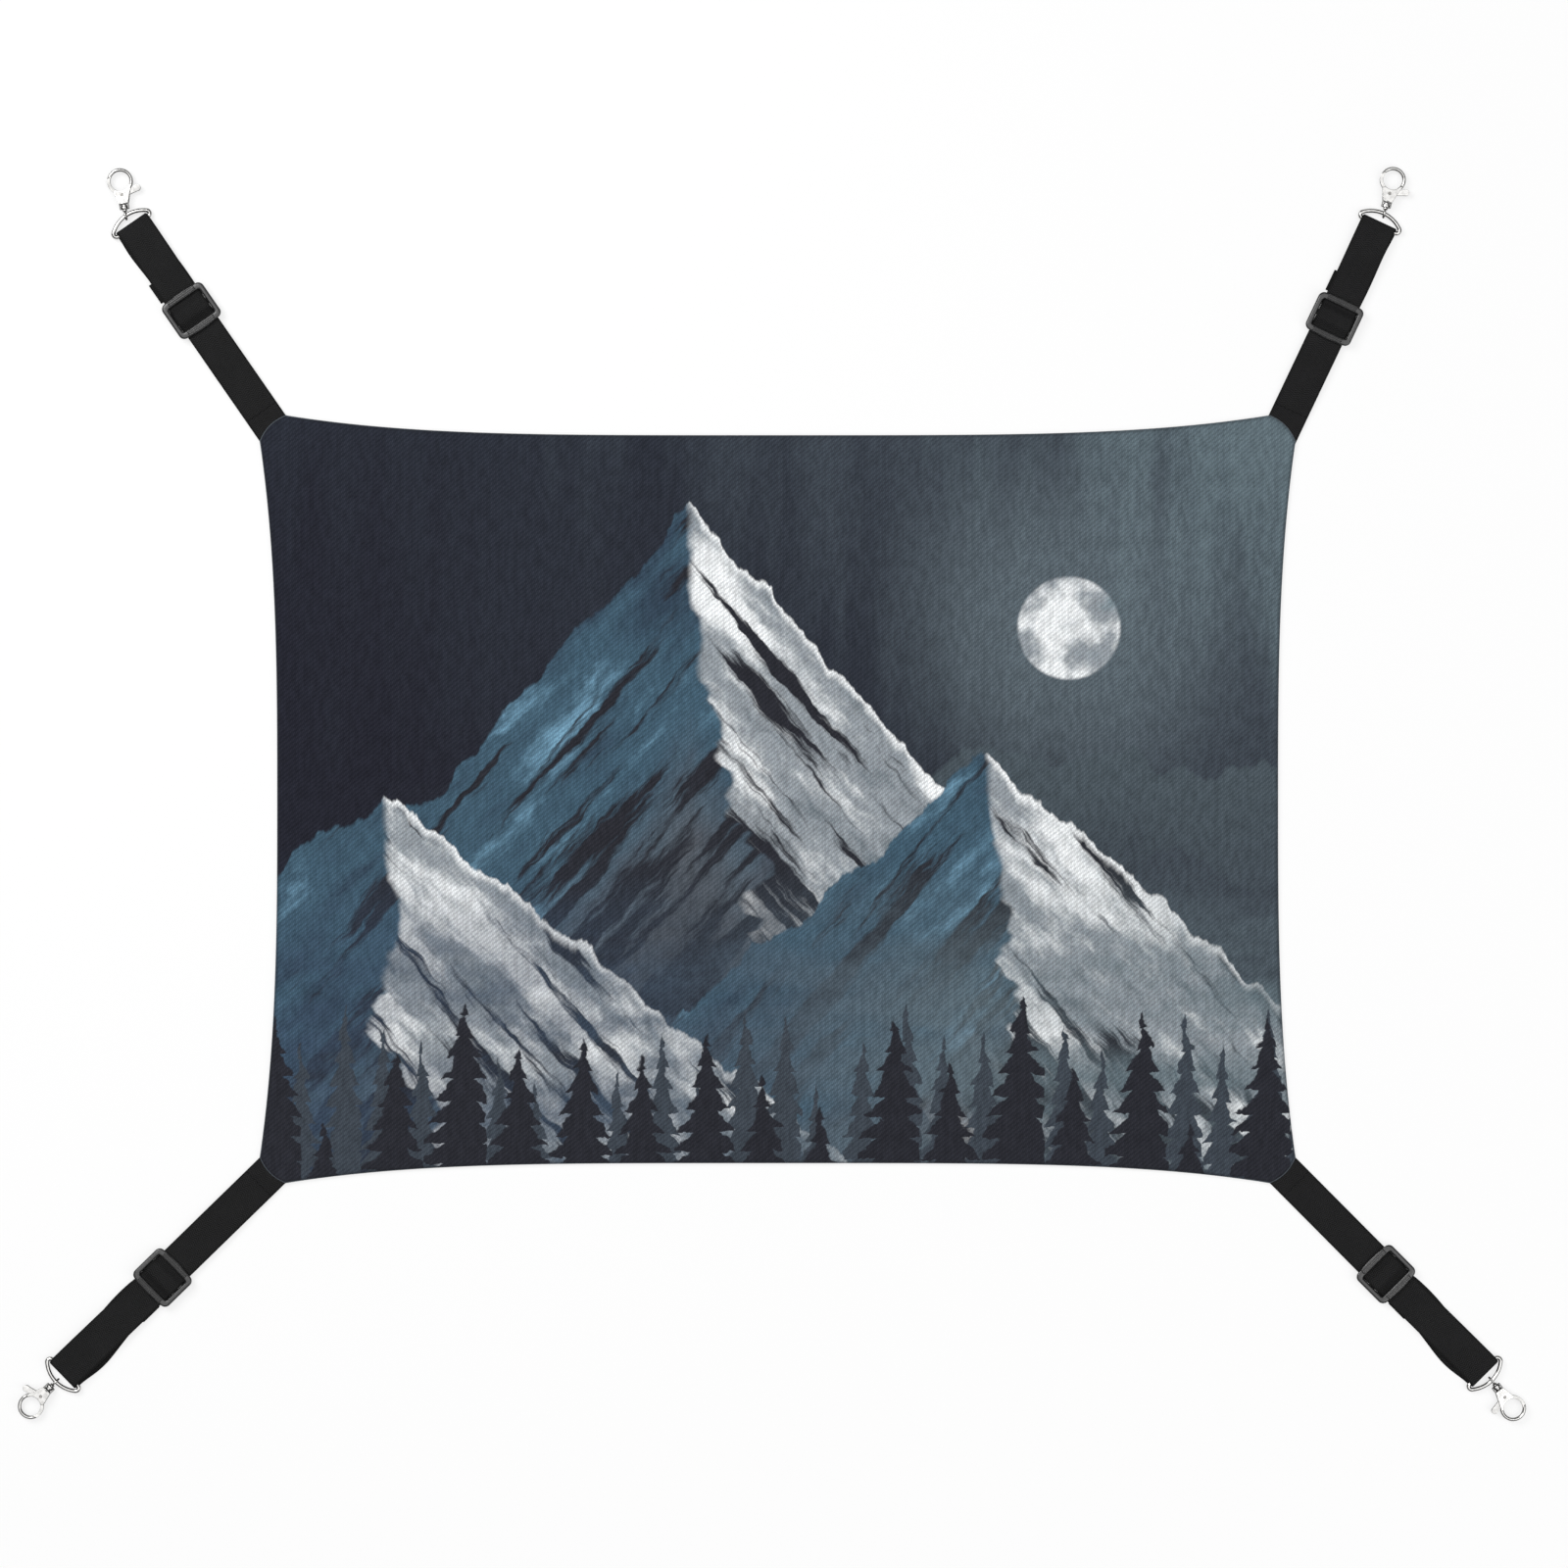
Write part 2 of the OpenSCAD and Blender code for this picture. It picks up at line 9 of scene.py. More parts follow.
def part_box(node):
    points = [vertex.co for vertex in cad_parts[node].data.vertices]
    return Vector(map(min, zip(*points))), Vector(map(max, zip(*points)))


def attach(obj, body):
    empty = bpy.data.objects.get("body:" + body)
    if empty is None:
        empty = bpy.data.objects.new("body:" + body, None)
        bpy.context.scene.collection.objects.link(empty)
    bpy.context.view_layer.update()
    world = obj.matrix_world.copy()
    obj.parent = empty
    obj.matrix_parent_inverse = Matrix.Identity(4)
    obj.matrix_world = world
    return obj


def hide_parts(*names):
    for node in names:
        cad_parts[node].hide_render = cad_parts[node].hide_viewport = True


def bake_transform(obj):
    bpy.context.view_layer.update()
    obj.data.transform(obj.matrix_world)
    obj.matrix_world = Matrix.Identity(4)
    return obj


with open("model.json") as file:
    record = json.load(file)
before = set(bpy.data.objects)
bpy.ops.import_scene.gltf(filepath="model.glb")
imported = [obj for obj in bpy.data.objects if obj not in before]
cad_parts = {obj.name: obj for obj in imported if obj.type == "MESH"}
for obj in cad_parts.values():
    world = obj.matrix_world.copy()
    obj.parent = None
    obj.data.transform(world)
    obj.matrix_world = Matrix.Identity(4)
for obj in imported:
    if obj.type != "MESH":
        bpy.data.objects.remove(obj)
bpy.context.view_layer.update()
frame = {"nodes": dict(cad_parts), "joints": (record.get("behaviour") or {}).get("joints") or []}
joints = {joint["name"]: joint for joint in frame["joints"]}
scene = bpy.context.scene

# Sizes in metres
MM = 0.001
CORNERS = ("back_left", "back_right", "front_left", "front_right")

# Mat: half sizes at the middles of the edges, their flare towards the corners, and rounded corner cuts
HALF_W = 275 * MM
HALF_D = 200 * MM
FLARE_W = 9.6 * MM
FLARE_D = 11 * MM
FLARE_POWER_W = 3
FLARE_POWER_D = 4
CORNER_BULGE = 2.2 * MM
PANEL_T = 1.4 * MM
SEAM_ROLL = 2.2 * MM
SEAM_GAP = 0.03 * MM
EVEN_OUT = 7 * MM
# Rings of vertices on a panel: distances in from its edge, and how many more lead to the middle
SEAM_RINGS = [d * MM for d in (0.15, 0.4, 0.8, 1.3, 2.0, 3.0, 4.5, 6.0)]
PANEL_RINGS = 46
# How far a strap's end lifts each panel, and how far round it the cloth is lifted
TAB_LIFT = 0.6 * MM
TAB_SHOW = 0.45 * MM
TAB_SLACK = 0.2 * MM
TAB_FALL = 3 * MM

# Webbing, and the heights of its layers at the middle of their thickness
STRAP_W = 20 * MM
STRAP_T = 1.2 * MM
LAYER = 1.25 * MM
RETURN_Z = STRAP_T / 2
SEWN_Z = RETURN_Z + LAYER
FRONT_Z = SEWN_Z + LAYER
TAB_IN = 25 * MM
TAB_OUT = 4.5 * MM
ROOT_END = 6 * MM
SEWN_L = 15 * MM
SEWN_START = 3 * MM
RUN_WAVE = 0.35 * MM
# Cut across, the webbing has this many points on each half of its width, and a thicker cord along each edge
SECTION_POINTS = 14
EDGE_CORD = 0.06 * MM

# Stitches that hold a strap's end: two zigzag rows across its underside
TACK_ROWS = (4 * MM, 11 * MM)
TACK_W = STRAP_W - 3 * MM
TACK_POINTS = 36
TACK_ZIGZAG = 0.9 * MM
TACK_Z = 0.02 * MM
THREAD_R = 0.16 * MM

# Slider, with its heights above the floor
SLIDER_L = 24 * MM
SLIDER_W = 27 * MM
SLIDER_BOW = 1.3 * MM
SLIDER_CORNER = 2.8 * MM
SLIDER_TOP = 5.85 * MM
CROSSBAR_Z = 3.75 * MM
RAIL_Z = 2.2 * MM
WINDOW_L = 15.4 * MM
WINDOW_W = 20.6 * MM
BAR_W = 3.2 * MM
BAR_T = 1.8 * MM
RIB_R = 0.35 * MM
RIB_PITCH = 1.0 * MM
RIB_L = 17.4 * MM
WINDOW_CORNER = 1.0 * MM
# Where the rails begin to rise to the outer bars, over what length, and how square the bars are
RAIL_END = 7.2 * MM
RAIL_RISE = 2.0 * MM
BAR_SQUARE = 0.72
BAR_SEAT = 1.6 * MM

# Webbing round the slider's middle bar
HUMP_L = (SLIDER_L + WINDOW_L) / 4
HUMP_FLAT = BAR_W / 2
HUMP_FALL = WINDOW_L / 2 - HUMP_FLAT
BAR_FLAT = (BAR_W - BAR_T) / 2
BAR_Z = 3.1 * MM
WRAP_R = 1.55 * MM
HUMP_Z = BAR_Z + WRAP_R + LAYER
FOLD_R = 1.8 * MM
WRAP_SPREAD = 0.029

# Camera: the photograph is square, and this much of the floor fills its width
VIEW_W = 862 * MM
VIEW_MIDDLE = (3.5 * MM, 8.35 * MM)
CAMERA_HEIGHT = 3.0
SENSOR = 36.0


def set_stops(ramp, stops):
    """Gives a colour ramp its stops of (place, colour)."""
    elements = ramp.elements
    elements[0].position = stops[0][0]
    elements[1].position = stops[-1][0]
    for place, _ in stops[1:-1]:
        elements.new(place)
    for element, (_, color) in zip(elements, stops):
        element.color = color


class Shader:
    """A material's node tree, with short ways to add nodes and sums."""

    def __init__(self, name):
        self.material = bpy.data.materials.new(name)
        self.material.use_nodes = True
        self.tree = self.material.node_tree
        self.surface = self.tree.nodes["Principled BSDF"]

    def add(self, kind, **settings):
        node = self.tree.nodes.new(kind)
        for key, value in settings.items():
            setattr(node, key, value)
        return node

    def feed(self, socket, value):
        if isinstance(value, bpy.types.NodeSocket):
            self.tree.links.new(value, socket)
        else:
            socket.default_value = value

    def math(self, operation, a, b=0.0, clamp=False):
        node = self.add("ShaderNodeMath", operation=operation, use_clamp=clamp)
        self.feed(node.inputs[0], a)
        self.feed(node.inputs[1], b)
        return node.outputs[0]

    def plus(self, a, b):
        return self.math("ADD", a, b)

    def minus(self, a, b):
        return self.math("SUBTRACT", a, b)

    def times(self, a, b):
        return self.math("MULTIPLY", a, b)

    def wave(self, phase):
        """Sine of a phase counted in turns."""
        return self.math("SINE", self.times(phase, math.tau))

    def ramp(self, value, low, high, start=0.0, end=1.0):
        """Smooth step from start to end as value goes from low to high."""
        node = self.add("ShaderNodeMapRange", interpolation_type="SMOOTHSTEP", clamp=True)
        for socket, number in zip(node.inputs[:5], (value, low, high, start, end)):
            self.feed(socket, number)
        return node.outputs[0]

    def mix(self, share, a, b, blend="MIX"):
        node = self.add("ShaderNodeMix", data_type="RGBA", blend_type=blend)
        self.feed(node.inputs["Factor"], share)
        self.feed(node.inputs[6], a)
        self.feed(node.inputs[7], b)
        return node.outputs[2]

    def palette(self, value, *stops):
        """Colour at a value between stops of (place, colour)."""
        node = self.add("ShaderNodeValToRGB")
        node.color_ramp.interpolation = "EASE"
        set_stops(node.color_ramp, stops)
        self.feed(node.inputs[0], value)
        return node.outputs[0]

    def point(self, x, y=0.0, z=0.0):
        node = self.add("ShaderNodeCombineXYZ")
        for socket, number in zip(node.inputs, (x, y, z)):
            self.feed(socket, number)
        return node.outputs[0]

    def split(self, vector):
        node = self.add("ShaderNodeSeparateXYZ")
        self.feed(node.inputs[0], vector)
        return node.outputs

    def place(self):
        """Position in the part's own frame, in metres."""
        return self.add("ShaderNodeTexCoord").outputs["Object"]

    def across_and_along(self):
        """Position on cloth in metres: across and along webbing, or in from a panel's seam and along it."""
        return self.split(self.add("ShaderNodeUVMap", uv_map="weave").outputs[0])

    def cloud(self, vector, scale, detail=3.0, rough=0.5):
        node = self.add("ShaderNodeTexNoise")
        self.feed(node.inputs["Vector"], vector)
        node.inputs["Scale"].default_value = scale
        node.inputs["Detail"].default_value = detail
        node.inputs["Roughness"].default_value = rough
        return node.outputs[0]

    def bump(self, height, distance, strength=1.0):
        node = self.add("ShaderNodeBump")
        node.inputs["Strength"].default_value = strength
        node.inputs["Distance"].default_value = distance
        self.feed(node.inputs["Height"], height)
        self.feed(self.surface.inputs["Normal"], node.outputs[0])

    def finish(self, color, roughness, **fixed):
        self.feed(self.surface.inputs["Base Color"], color)
        self.feed(self.surface.inputs["Roughness"], roughness)
        for name, value in fixed.items():
            self.surface.inputs[name.replace("_", " ")].default_value = value
        return self.material


def twill(shader, x, y):
    """Height of a twill: threads along X and along Y take turns on top in slanting lines."""
    turns_x = shader.times(x, 0.5 / WARP_PITCH)
    turns_y = shader.times(y, 0.5 / WEFT_PITCH)
    warp = shader.math("ABSOLUTE", shader.wave(turns_x))
    weft = shader.math("ABSOLUTE", shader.wave(turns_y))
    slant = shader.times(shader.minus(turns_x, turns_y), 0.5)
    side = shader.ramp(shader.wave(slant), -0.5, 0.5)
    sunk = shader.times(shader.minus(1.0, side), 0.55)
    return shader.plus(shader.times(warp, side), shader.times(weft, sunk))


# Colours of the print, as linear values
NIGHT = (0.0145, 0.0155, 0.0245, 1)
DUSK = (0.021, 0.025, 0.036, 1)
NAVY = (0.038, 0.062, 0.102, 1)
SLATE = (0.044, 0.055, 0.070, 1)
TEAL_GREY = (0.112, 0.152, 0.173, 1)
HAZE = (0.200, 0.262, 0.292, 1)
HILL_GREY = (0.066, 0.087, 0.102, 1)
WHITE = (0.780, 0.800, 0.810, 1)
SNOW = (0.270, 0.300, 0.325, 1)
PALE_BLUE = (0.180, 0.350, 0.480, 1)
SKY_BLUE = (0.048, 0.096, 0.138, 1)
DEEP_BLUE = (0.030, 0.052, 0.080, 1)
STEEL = (0.100, 0.128, 0.150, 1)
CHARCOAL = (0.020, 0.021, 0.028, 1)
TAUPE = (0.150, 0.146, 0.152, 1)

# The print is laid out in half depths of the mat: u to the right of its middle and v up
MOON = (0.80, 0.47)
MOON_R = 0.14
# Place, height, steepness and seed of each peak, from the farthest to the nearest
PEAKS = ((-0.24, 0.80, 1.10, 2.1), (0.58, 0.12, 0.85, 6.4), (-1.08, 0.02, 0.80, 8.8))

# Threads of the cloth, and the painted shade and the painted highlight along its seam
WARP_PITCH = 0.8 * MM
WEFT_PITCH = 0.65 * MM
SEAM_HIGHLIGHT = (0.11, 0.13, 0.15, 1)
SEAM_SHADE = (0.010, 0.011, 0.014, 1)

# Webbing: columns of its herringbone, steps along them, fine cords, and where its smooth edges begin
WEAVE_COLUMN = 2.4 * MM
WEAVE_STEP = 1.15 * MM
WEAVE_CORD = 0.8 * MM
WEAVE_EDGE = (8.6 * MM, 9.1 * MM)
# Webbing colours: painted shade, painted light on the raised ribs, and worn patches
WEBBING_SHADED = (0.004, 0.004, 0.004, 1)
WEBBING_LIT = (0.016, 0.016, 0.0165, 1)
WEBBING_WORN = (0.014, 0.014, 0.0145, 1)


def print_sky(shader, u, v):
    """Dusk sky in upright strokes: dark on the left, hazy at the upper right, blue at the lower left."""
    strokes = shader.cloud(shader.point(shader.times(u, 7.0), shader.times(v, 0.8), 3.0), 1.0, 5.0, 0.6)
    light = shader.plus(shader.times(u, 0.23), shader.times(v, 0.22))
    light = shader.plus(shader.plus(light, 0.31), shader.times(shader.minus(strokes, 0.5), 0.5))
    sky = shader.palette(light, (0.05, NIGHT), (0.35, DUSK), (0.62, SLATE), (0.88, TEAL_GREY), (1.0, HAZE))
    low_left = shader.times(shader.ramp(v, -0.2, -1.0), shader.ramp(u, 0.2, -1.2))
    return shader.mix(shader.times(low_left, 0.8), sky, NAVY)


def print_moon(shader, u, v, color):
    """Pale moon with grey patches and a wide glow."""
    away_u = shader.minus(u, MOON[0])
    away_v = shader.minus(v, MOON[1])
    far = shader.math("SQRT", shader.plus(shader.times(away_u, away_u), shader.times(away_v, away_v)))
    color = shader.mix(shader.ramp(far, 0.62, MOON_R, 0.0, 0.30), color, HAZE)
    patches = shader.cloud(shader.point(u, v, 9.0), 7.0, 4.0)
    disc = shader.palette(patches, (0.40, WHITE), (0.56, SNOW), (0.72, HAZE))
    return shader.mix(shader.ramp(far, MOON_R + 0.006, MOON_R - 0.006), color, disc)


def print_ridge(shader, u, v, color, height, swing, seed, tint):
    """Line of far hills that fades into mist below its crest."""
    crest = shader.cloud(shader.point(u, seed), 2.1, 6.0, 0.52)
    below = shader.minus(shader.plus(shader.times(shader.minus(crest, 0.5), swing), height), v)
    mask = shader.times(shader.ramp(below, -0.006, 0.008), shader.ramp(below, 0.55, 0.0, 0.0, 0.85))
    return shader.mix(mask, color, shader.mix(shader.ramp(u, 0.7, -1.2), tint, NIGHT))


def print_slope(shader, u, v, depth, lean, stops):
    """Snow in strokes along the fall of one side of a peak, broken by dark rock."""
    fall = shader.plus(u, shader.times(v, lean))
    bands = shader.cloud(shader.point(shader.times(fall, 11.0), shader.times(v, 1.7), lean), 1.0, 5.0, 0.6)
    patches = shader.cloud(shader.point(shader.times(fall, 5.0), shader.times(v, 2.4), 7.0), 1.0, 5.0, 0.6)
    snow = shader.palette(patches, *stops)
    snow = shader.mix(shader.ramp(depth, 0.5, 1.1, 0.0, 0.6), snow, TAUPE)
    rock = shader.plus(bands, shader.ramp(depth, 0.1, 1.2, 0.0, 0.14))
    return shader.mix(shader.ramp(rock, 0.56, 0.64), snow, CHARCOAL)


def print_peak(shader, u, v, color, place, top, steep, seed):
    """Snowy peak lit from the right: white on the lit side, blue in the shade, with dark rock."""
    side = shader.minus(u, place)
    slope = shader.minus(top, shader.times(shader.math("ABSOLUTE", side), steep))
    jag = shader.cloud(shader.point(u, seed), 5.0, 6.0, 0.55)
    depth = shader.minus(shader.plus(slope, shader.times(shader.minus(jag, 0.5), 0.30)), v)
    wander = shader.cloud(shader.point(0.4, v, seed), 2.6, 4.0, 0.55)
    wander = shader.times(shader.minus(wander, 0.42), shader.ramp(depth, 0.0, 0.9, 0.0, 1.1))
    lit = shader.ramp(shader.minus(side, wander), -0.014, 0.014)
    shade = (0.34, DEEP_BLUE), (0.54, SKY_BLUE), (0.74, PALE_BLUE)
    light = (0.30, STEEL), (0.47, SNOW), (0.62, WHITE)
    dark_side = print_slope(shader, u, v, depth, -0.85, shade)
    face = shader.mix(lit, dark_side, print_slope(shader, u, v, depth, 0.85, light))
    rim = shader.times(shader.ramp(depth, 0.035, 0.0), lit)
    face = shader.mix(rim, face, WHITE)
    mask = shader.times(shader.ramp(depth, -0.006, 0.006), shader.ramp(depth, 1.5, 0.6))
    return shader.mix(mask, color, face)


def print_mist(shader, u, v, color):
    """Bands of mist over the foot of the hills."""
    drift = shader.cloud(shader.point(shader.times(u, 1.6), shader.times(v, 5.0), 1.0), 1.0, 5.0, 0.6)
    low = shader.times(shader.ramp(v, -0.1, -0.62), shader.ramp(drift, 0.28, 0.66))
    fog = shader.mix(shader.ramp(u, -0.9, 1.0), NAVY, TEAL_GREY)
    return shader.mix(shader.times(low, 0.9), color, fog)


def print_pines(shader, u, v, color, width, foot, tall, seed, tint):
    """Row of pine trees that stand on a height, one in each cell of the row."""
    cell = shader.plus(shader.times(u, 1.0 / width), seed)
    number = shader.math("FLOOR", cell)
    chance = shader.add("ShaderNodeTexWhiteNoise", noise_dimensions="1D")
    shader.feed(chance.inputs["W"], number)
    sway = shader.times(shader.minus(chance.outputs["Value"], 0.5), 0.3)
    away = shader.math("ABSOLUTE", shader.minus(shader.minus(shader.minus(cell, number), 0.5), sway))
    top = shader.plus(foot, shader.times(shader.plus(chance.outputs["Value"], 0.5), tall))
    drop = shader.minus(top, v)
    ragged = shader.cloud(shader.point(u, v, seed), 26.0, 3.0, 0.6)
    tier = shader.math("FRACT", shader.plus(shader.times(drop, 17.0), shader.times(ragged, 0.5)))
    reach = shader.times(drop, shader.plus(shader.times(tier, 0.6), 0.5))
    branches = shader.times(shader.minus(ragged, 0.5), 0.10)
    edge = shader.plus(shader.minus(reach, shader.times(away, 0.62)), branches)
    mask = shader.times(shader.ramp(edge, -0.006, 0.014), shader.ramp(drop, 0.0, 0.006))
    return shader.mix(mask, color, tint)


def print_color(shader, place):
    """Painted landscape at dusk, in brush strokes."""
    warp = shader.add("ShaderNodeTexNoise")
    shader.feed(warp.inputs["Vector"], place)
    warp.inputs["Scale"].default_value = 70.0
    warp.inputs["Detail"].default_value = 3.0
    shift = shader.split(warp.outputs["Color"])
    x, y, _ = shader.split(place)
    u = shader.plus(shader.times(x, 1 / HALF_D), shader.times(shader.minus(shift[0], 0.5), 0.035))
    v = shader.plus(shader.times(y, 1 / HALF_D), shader.times(shader.minus(shift[1], 0.5), 0.035))
    color = print_sky(shader, u, v)
    color = print_moon(shader, shader.times(x, 1 / HALF_D), shader.times(y, 1 / HALF_D), color)
    color = print_ridge(shader, u, v, color, 0.10, 0.8, 1.3, HILL_GREY)
    color = print_ridge(shader, u, v, color, -0.20, 0.8, 4.7, SLATE)
    for peak in PEAKS:
        color = print_peak(shader, u, v, color, *peak)
    color = print_mist(shader, u, v, color)
    color = print_pines(shader, u, v, color, 0.11, -0.90, 0.24, 3.4, SLATE)
    color = print_pines(shader, u, v, color, 0.17, -1.06, 0.36, 11.7, CHARCOAL)
    strokes = shader.cloud(shader.point(shader.times(x, 3.0), y, 2.0), 110.0, 4.0, 0.6)
    grain = shader.mix(shader.ramp(strokes, 0.3, 0.7), (0.72, 0.72, 0.72, 1), (1.26, 1.26, 1.26, 1))
    return shader.mix(0.6, color, shader.mix(1.0, color, grain, "MULTIPLY"))


def seam_shade_and_highlight(shader, x, y, color):
    """Painted shade where the cloth rolls down to the seam, and a painted highlight on the turned edge at
    the corners.
    """
    seam = shader.across_and_along()[0]
    far_x = shader.times(shader.math("ABSOLUTE", x), 1 / HALF_W)
    far_y = shader.times(shader.math("ABSOLUTE", y), 1 / HALF_D)
    corner = shader.ramp(shader.plus(far_x, far_y), 1.95, 2.0, 0.3, 0.8)
    # Painted shade: the cloth darkened where it rolls down to the seam
    color = shader.mix(shader.ramp(seam, 2.4 * MM, 0.5 * MM, 0.0, 0.4), color, SEAM_SHADE)
    # Painted highlight: a pale line on the turned edge round the corners
    return shader.mix(shader.times(shader.ramp(seam, 0.8 * MM, 0.3 * MM), corner), color, SEAM_HIGHLIGHT)


def canvas(name, color_of):
    """Woven cloth whose threads show in relief and roughness, with painted shade in the weave's hollows and
    painted light on its raised threads.
    """
    shader = Shader(name)
    place = shader.place()
    x, y, _ = shader.split(place)
    slub = shader.cloud(shader.point(shader.times(x, 0.25), y), 900.0, 2.0)
    height = shader.plus(twill(shader, x, y), shader.times(slub, 0.5))
    color = color_of(shader, place)
    # Painted shade in the hollows of the weave and painted light on its raised threads, taken from the
    # weave's height
    weave_shade_and_light = shader.mix(shader.ramp(height, 0.3, 1.2), (0.62, 0.62, 0.64, 1), (1.30, 1.30, 1.29, 1))
    color = shader.mix(1.0, color, weave_shade_and_light, "MULTIPLY")
    # Painted shade and painted highlight along the seam
    color = seam_shade_and_highlight(shader, x, y, color)
    shader.bump(height, 0.10 * MM)
    rough = shader.ramp(height, 0.2, 1.3, 0.95, 0.78)
    return shader.finish(color, rough, Sheen_Weight=0.02, Sheen_Roughness=0.5, Specular_IOR_Level=0.12)


def reverse_color(shader, place):
    """Plain dark lining, a little uneven in its dye."""
    uneven = shader.cloud(place, 18.0, 4.0)
    return shader.mix(shader.ramp(uneven, 0.3, 0.7), (0.020, 0.020, 0.022, 1), (0.030, 0.030, 0.033, 1))


def webbing_material():
    """Black webbing: a herringbone of ribs between two smooth edges, with painted shade in its hollows and
    along its edges, and painted light on its ribs.
    """
    shader = Shader("webbing")
    across, along, _ = shader.across_and_along()
    column = shader.math("PINGPONG", across, WEAVE_COLUMN)
    slant = shader.times(column, 1 / WEAVE_COLUMN)
    ribs = shader.wave(shader.plus(shader.times(along, 1 / WEAVE_STEP), slant))
    cords = shader.wave(shader.times(across, 1 / WEAVE_CORD))
    edge = shader.ramp(shader.math("ABSOLUTE", across), *WEAVE_EDGE)
    fuzz = shader.cloud(shader.point(across, along), 2600.0, 2.0)
    body = shader.plus(shader.times(ribs, 0.5), shader.times(cords, 0.18))
    body = shader.times(body, shader.minus(1.0, shader.times(edge, 0.65)))
    height = shader.plus(body, shader.times(fuzz, 0.3))
    worn = shader.cloud(shader.point(across, along), 60.0, 4.0)
    # Painted shade in the hollows of the ribs and painted light on their tops
    color = shader.mix(shader.ramp(height, -0.5, 0.8), WEBBING_SHADED, WEBBING_LIT)
    color = shader.mix(shader.ramp(worn, 0.35, 0.75, 0.0, 0.5), color, WEBBING_WORN)
    # Painted shade along the webbing's smooth edges
    color = shader.mix(shader.times(edge, 0.75), color, WEBBING_SHADED)
    shader.bump(height, 0.16 * MM)
    rough = shader.ramp(fuzz, 0.2, 0.8, 0.6, 0.85)
    return shader.finish(color, rough, Sheen_Weight=0.01, Sheen_Roughness=0.4, Specular_IOR_Level=0.12)


def thread_material():
    """Black twisted thread."""
    shader = Shader("thread")
    place = shader.place()
    twist = shader.cloud(place, 3000.0, 2.0)
    color = shader.mix(shader.ramp(twist, 0.3, 0.7), (0.008, 0.008, 0.008, 1), (0.032, 0.032, 0.033, 1))
    shader.bump(twist, 0.1 * MM)
    return shader.finish(color, shader.ramp(twist, 0.3, 0.7, 0.5, 0.75))


def plastic_material():
    """Black plastic with a fine moulded grain and paler, rubbed patches."""
    shader = Shader("slider_plastic")
    place = shader.place()
    grain = shader.cloud(place, 2600.0, 3.0)
    broad = shader.cloud(place, 140.0, 4.0)
    color = shader.mix(shader.ramp(grain, 0.35, 0.7), (0.010, 0.010, 0.0105, 1), (0.019, 0.019, 0.0195, 1))
    color = shader.mix(shader.ramp(broad, 0.45, 0.7, 0.0, 0.5), color, (0.030, 0.030, 0.031, 1))
    shader.bump(grain, 0.05 * MM)
    return shader.finish(color, shader.ramp(broad, 0.3, 0.7, 0.18, 0.30), Specular_IOR_Level=0.6)


def metal_material(name, dark, pale, smooth, dull):
    """Plated metal with faint casting ripples and handling marks."""
    shader = Shader(name)
    place = shader.place()
    marks = shader.cloud(place, 420.0, 5.0, 0.6)
    ripple = shader.cloud(place, 900.0, 2.0)
    color = shader.mix(shader.ramp(marks, 0.3, 0.7), dark, pale)
    shader.bump(ripple, 0.02 * MM)
    rough = shader.ramp(marks, 0.35, 0.75, smooth, dull)
    return shader.finish(color, rough, Metallic=1.0, Specular_Tint=(0.1, 0.1, 0.1, 1))


def new_piece(name, vertices, faces, material, weave=None):
    """Mesh piece in the part's frame, with flat end caps and, on cloth, places in its weave."""
    mesh = bpy.data.meshes.new(name)
    mesh.from_pydata([tuple(vertex) for vertex in vertices], [], faces)
    tidy = bmesh.new()
    tidy.from_mesh(mesh)
    bmesh.ops.recalc_face_normals(tidy, faces=tidy.faces)
    tidy.to_mesh(mesh)
    tidy.free()
    if weave:
        layer = mesh.uv_layers.new(name="weave")
        for loop in mesh.loops:
            layer.data[loop.index].uv = weave[loop.vertex_index]
    mesh.polygons.foreach_set("use_smooth", [len(face.vertices) <= 4 for face in mesh.polygons])
    mesh.materials.append(material)
    piece = bpy.data.objects.new(name, mesh)
    scene.collection.objects.link(piece)
    return piece


class Strap:
    """One corner's strap: s runs along it from the bend beside the mat, t to its left, z up."""

    def __init__(self, corner):
        self.corner = corner
        self.bend = Vector(joints[f"strap_lift_{corner}"]["pos_m"])
        self.bend_z = self.bend.z
        self.along = Vector(joints[f"slider_slide_{corner}"]["axis"])
        self.left = Vector((-self.along.y, self.along.x, 0))
        low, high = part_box(f"slider_{corner}")
        self.slider = self.distance((low + high) / 2)
        bar = Vector(joints[f"ring_tilt_{corner}"]["pos_m"])
        self.ring = self.distance(bar)
        self.ring_z = bar.z

    def distance(self, point):
        return (point - self.bend).dot(self.along)

    def offset(self, point):
        """Distances along the strap and to its left."""
        return self.distance(point), (point - self.bend).dot(self.left)

    def place(self, s, t=0.0, z=0.0):
        return Vector((self.bend.x, self.bend.y, z)) + self.along * s + self.left * t

    def run_z(self, s):
        """Height of the single webbing between the bend and the slider."""
        share = max(s, 0.0) / (self.slider - HUMP_L)
        return self.bend_z + (FRONT_Z - self.bend_z) * share


straps = {corner: Strap(corner) for corner in CORNERS}


def eased(share):
    """Smooth step from 0 to 1."""
    return share * share * (3 - 2 * share)


def swell(d):
    """Swell of the webbing at a distance from the middle bar: 1 on it, 0 under the outer bars."""
    return 0.5 + 0.5 * math.cos(math.pi * min(max(abs(d) - HUMP_FLAT, 0) / HUMP_FALL, 1))


def steps(low, high, step):
    count = max(2, round(abs(high - low) / step))
    return [low + (high - low) * k / count for k in range(count + 1)]


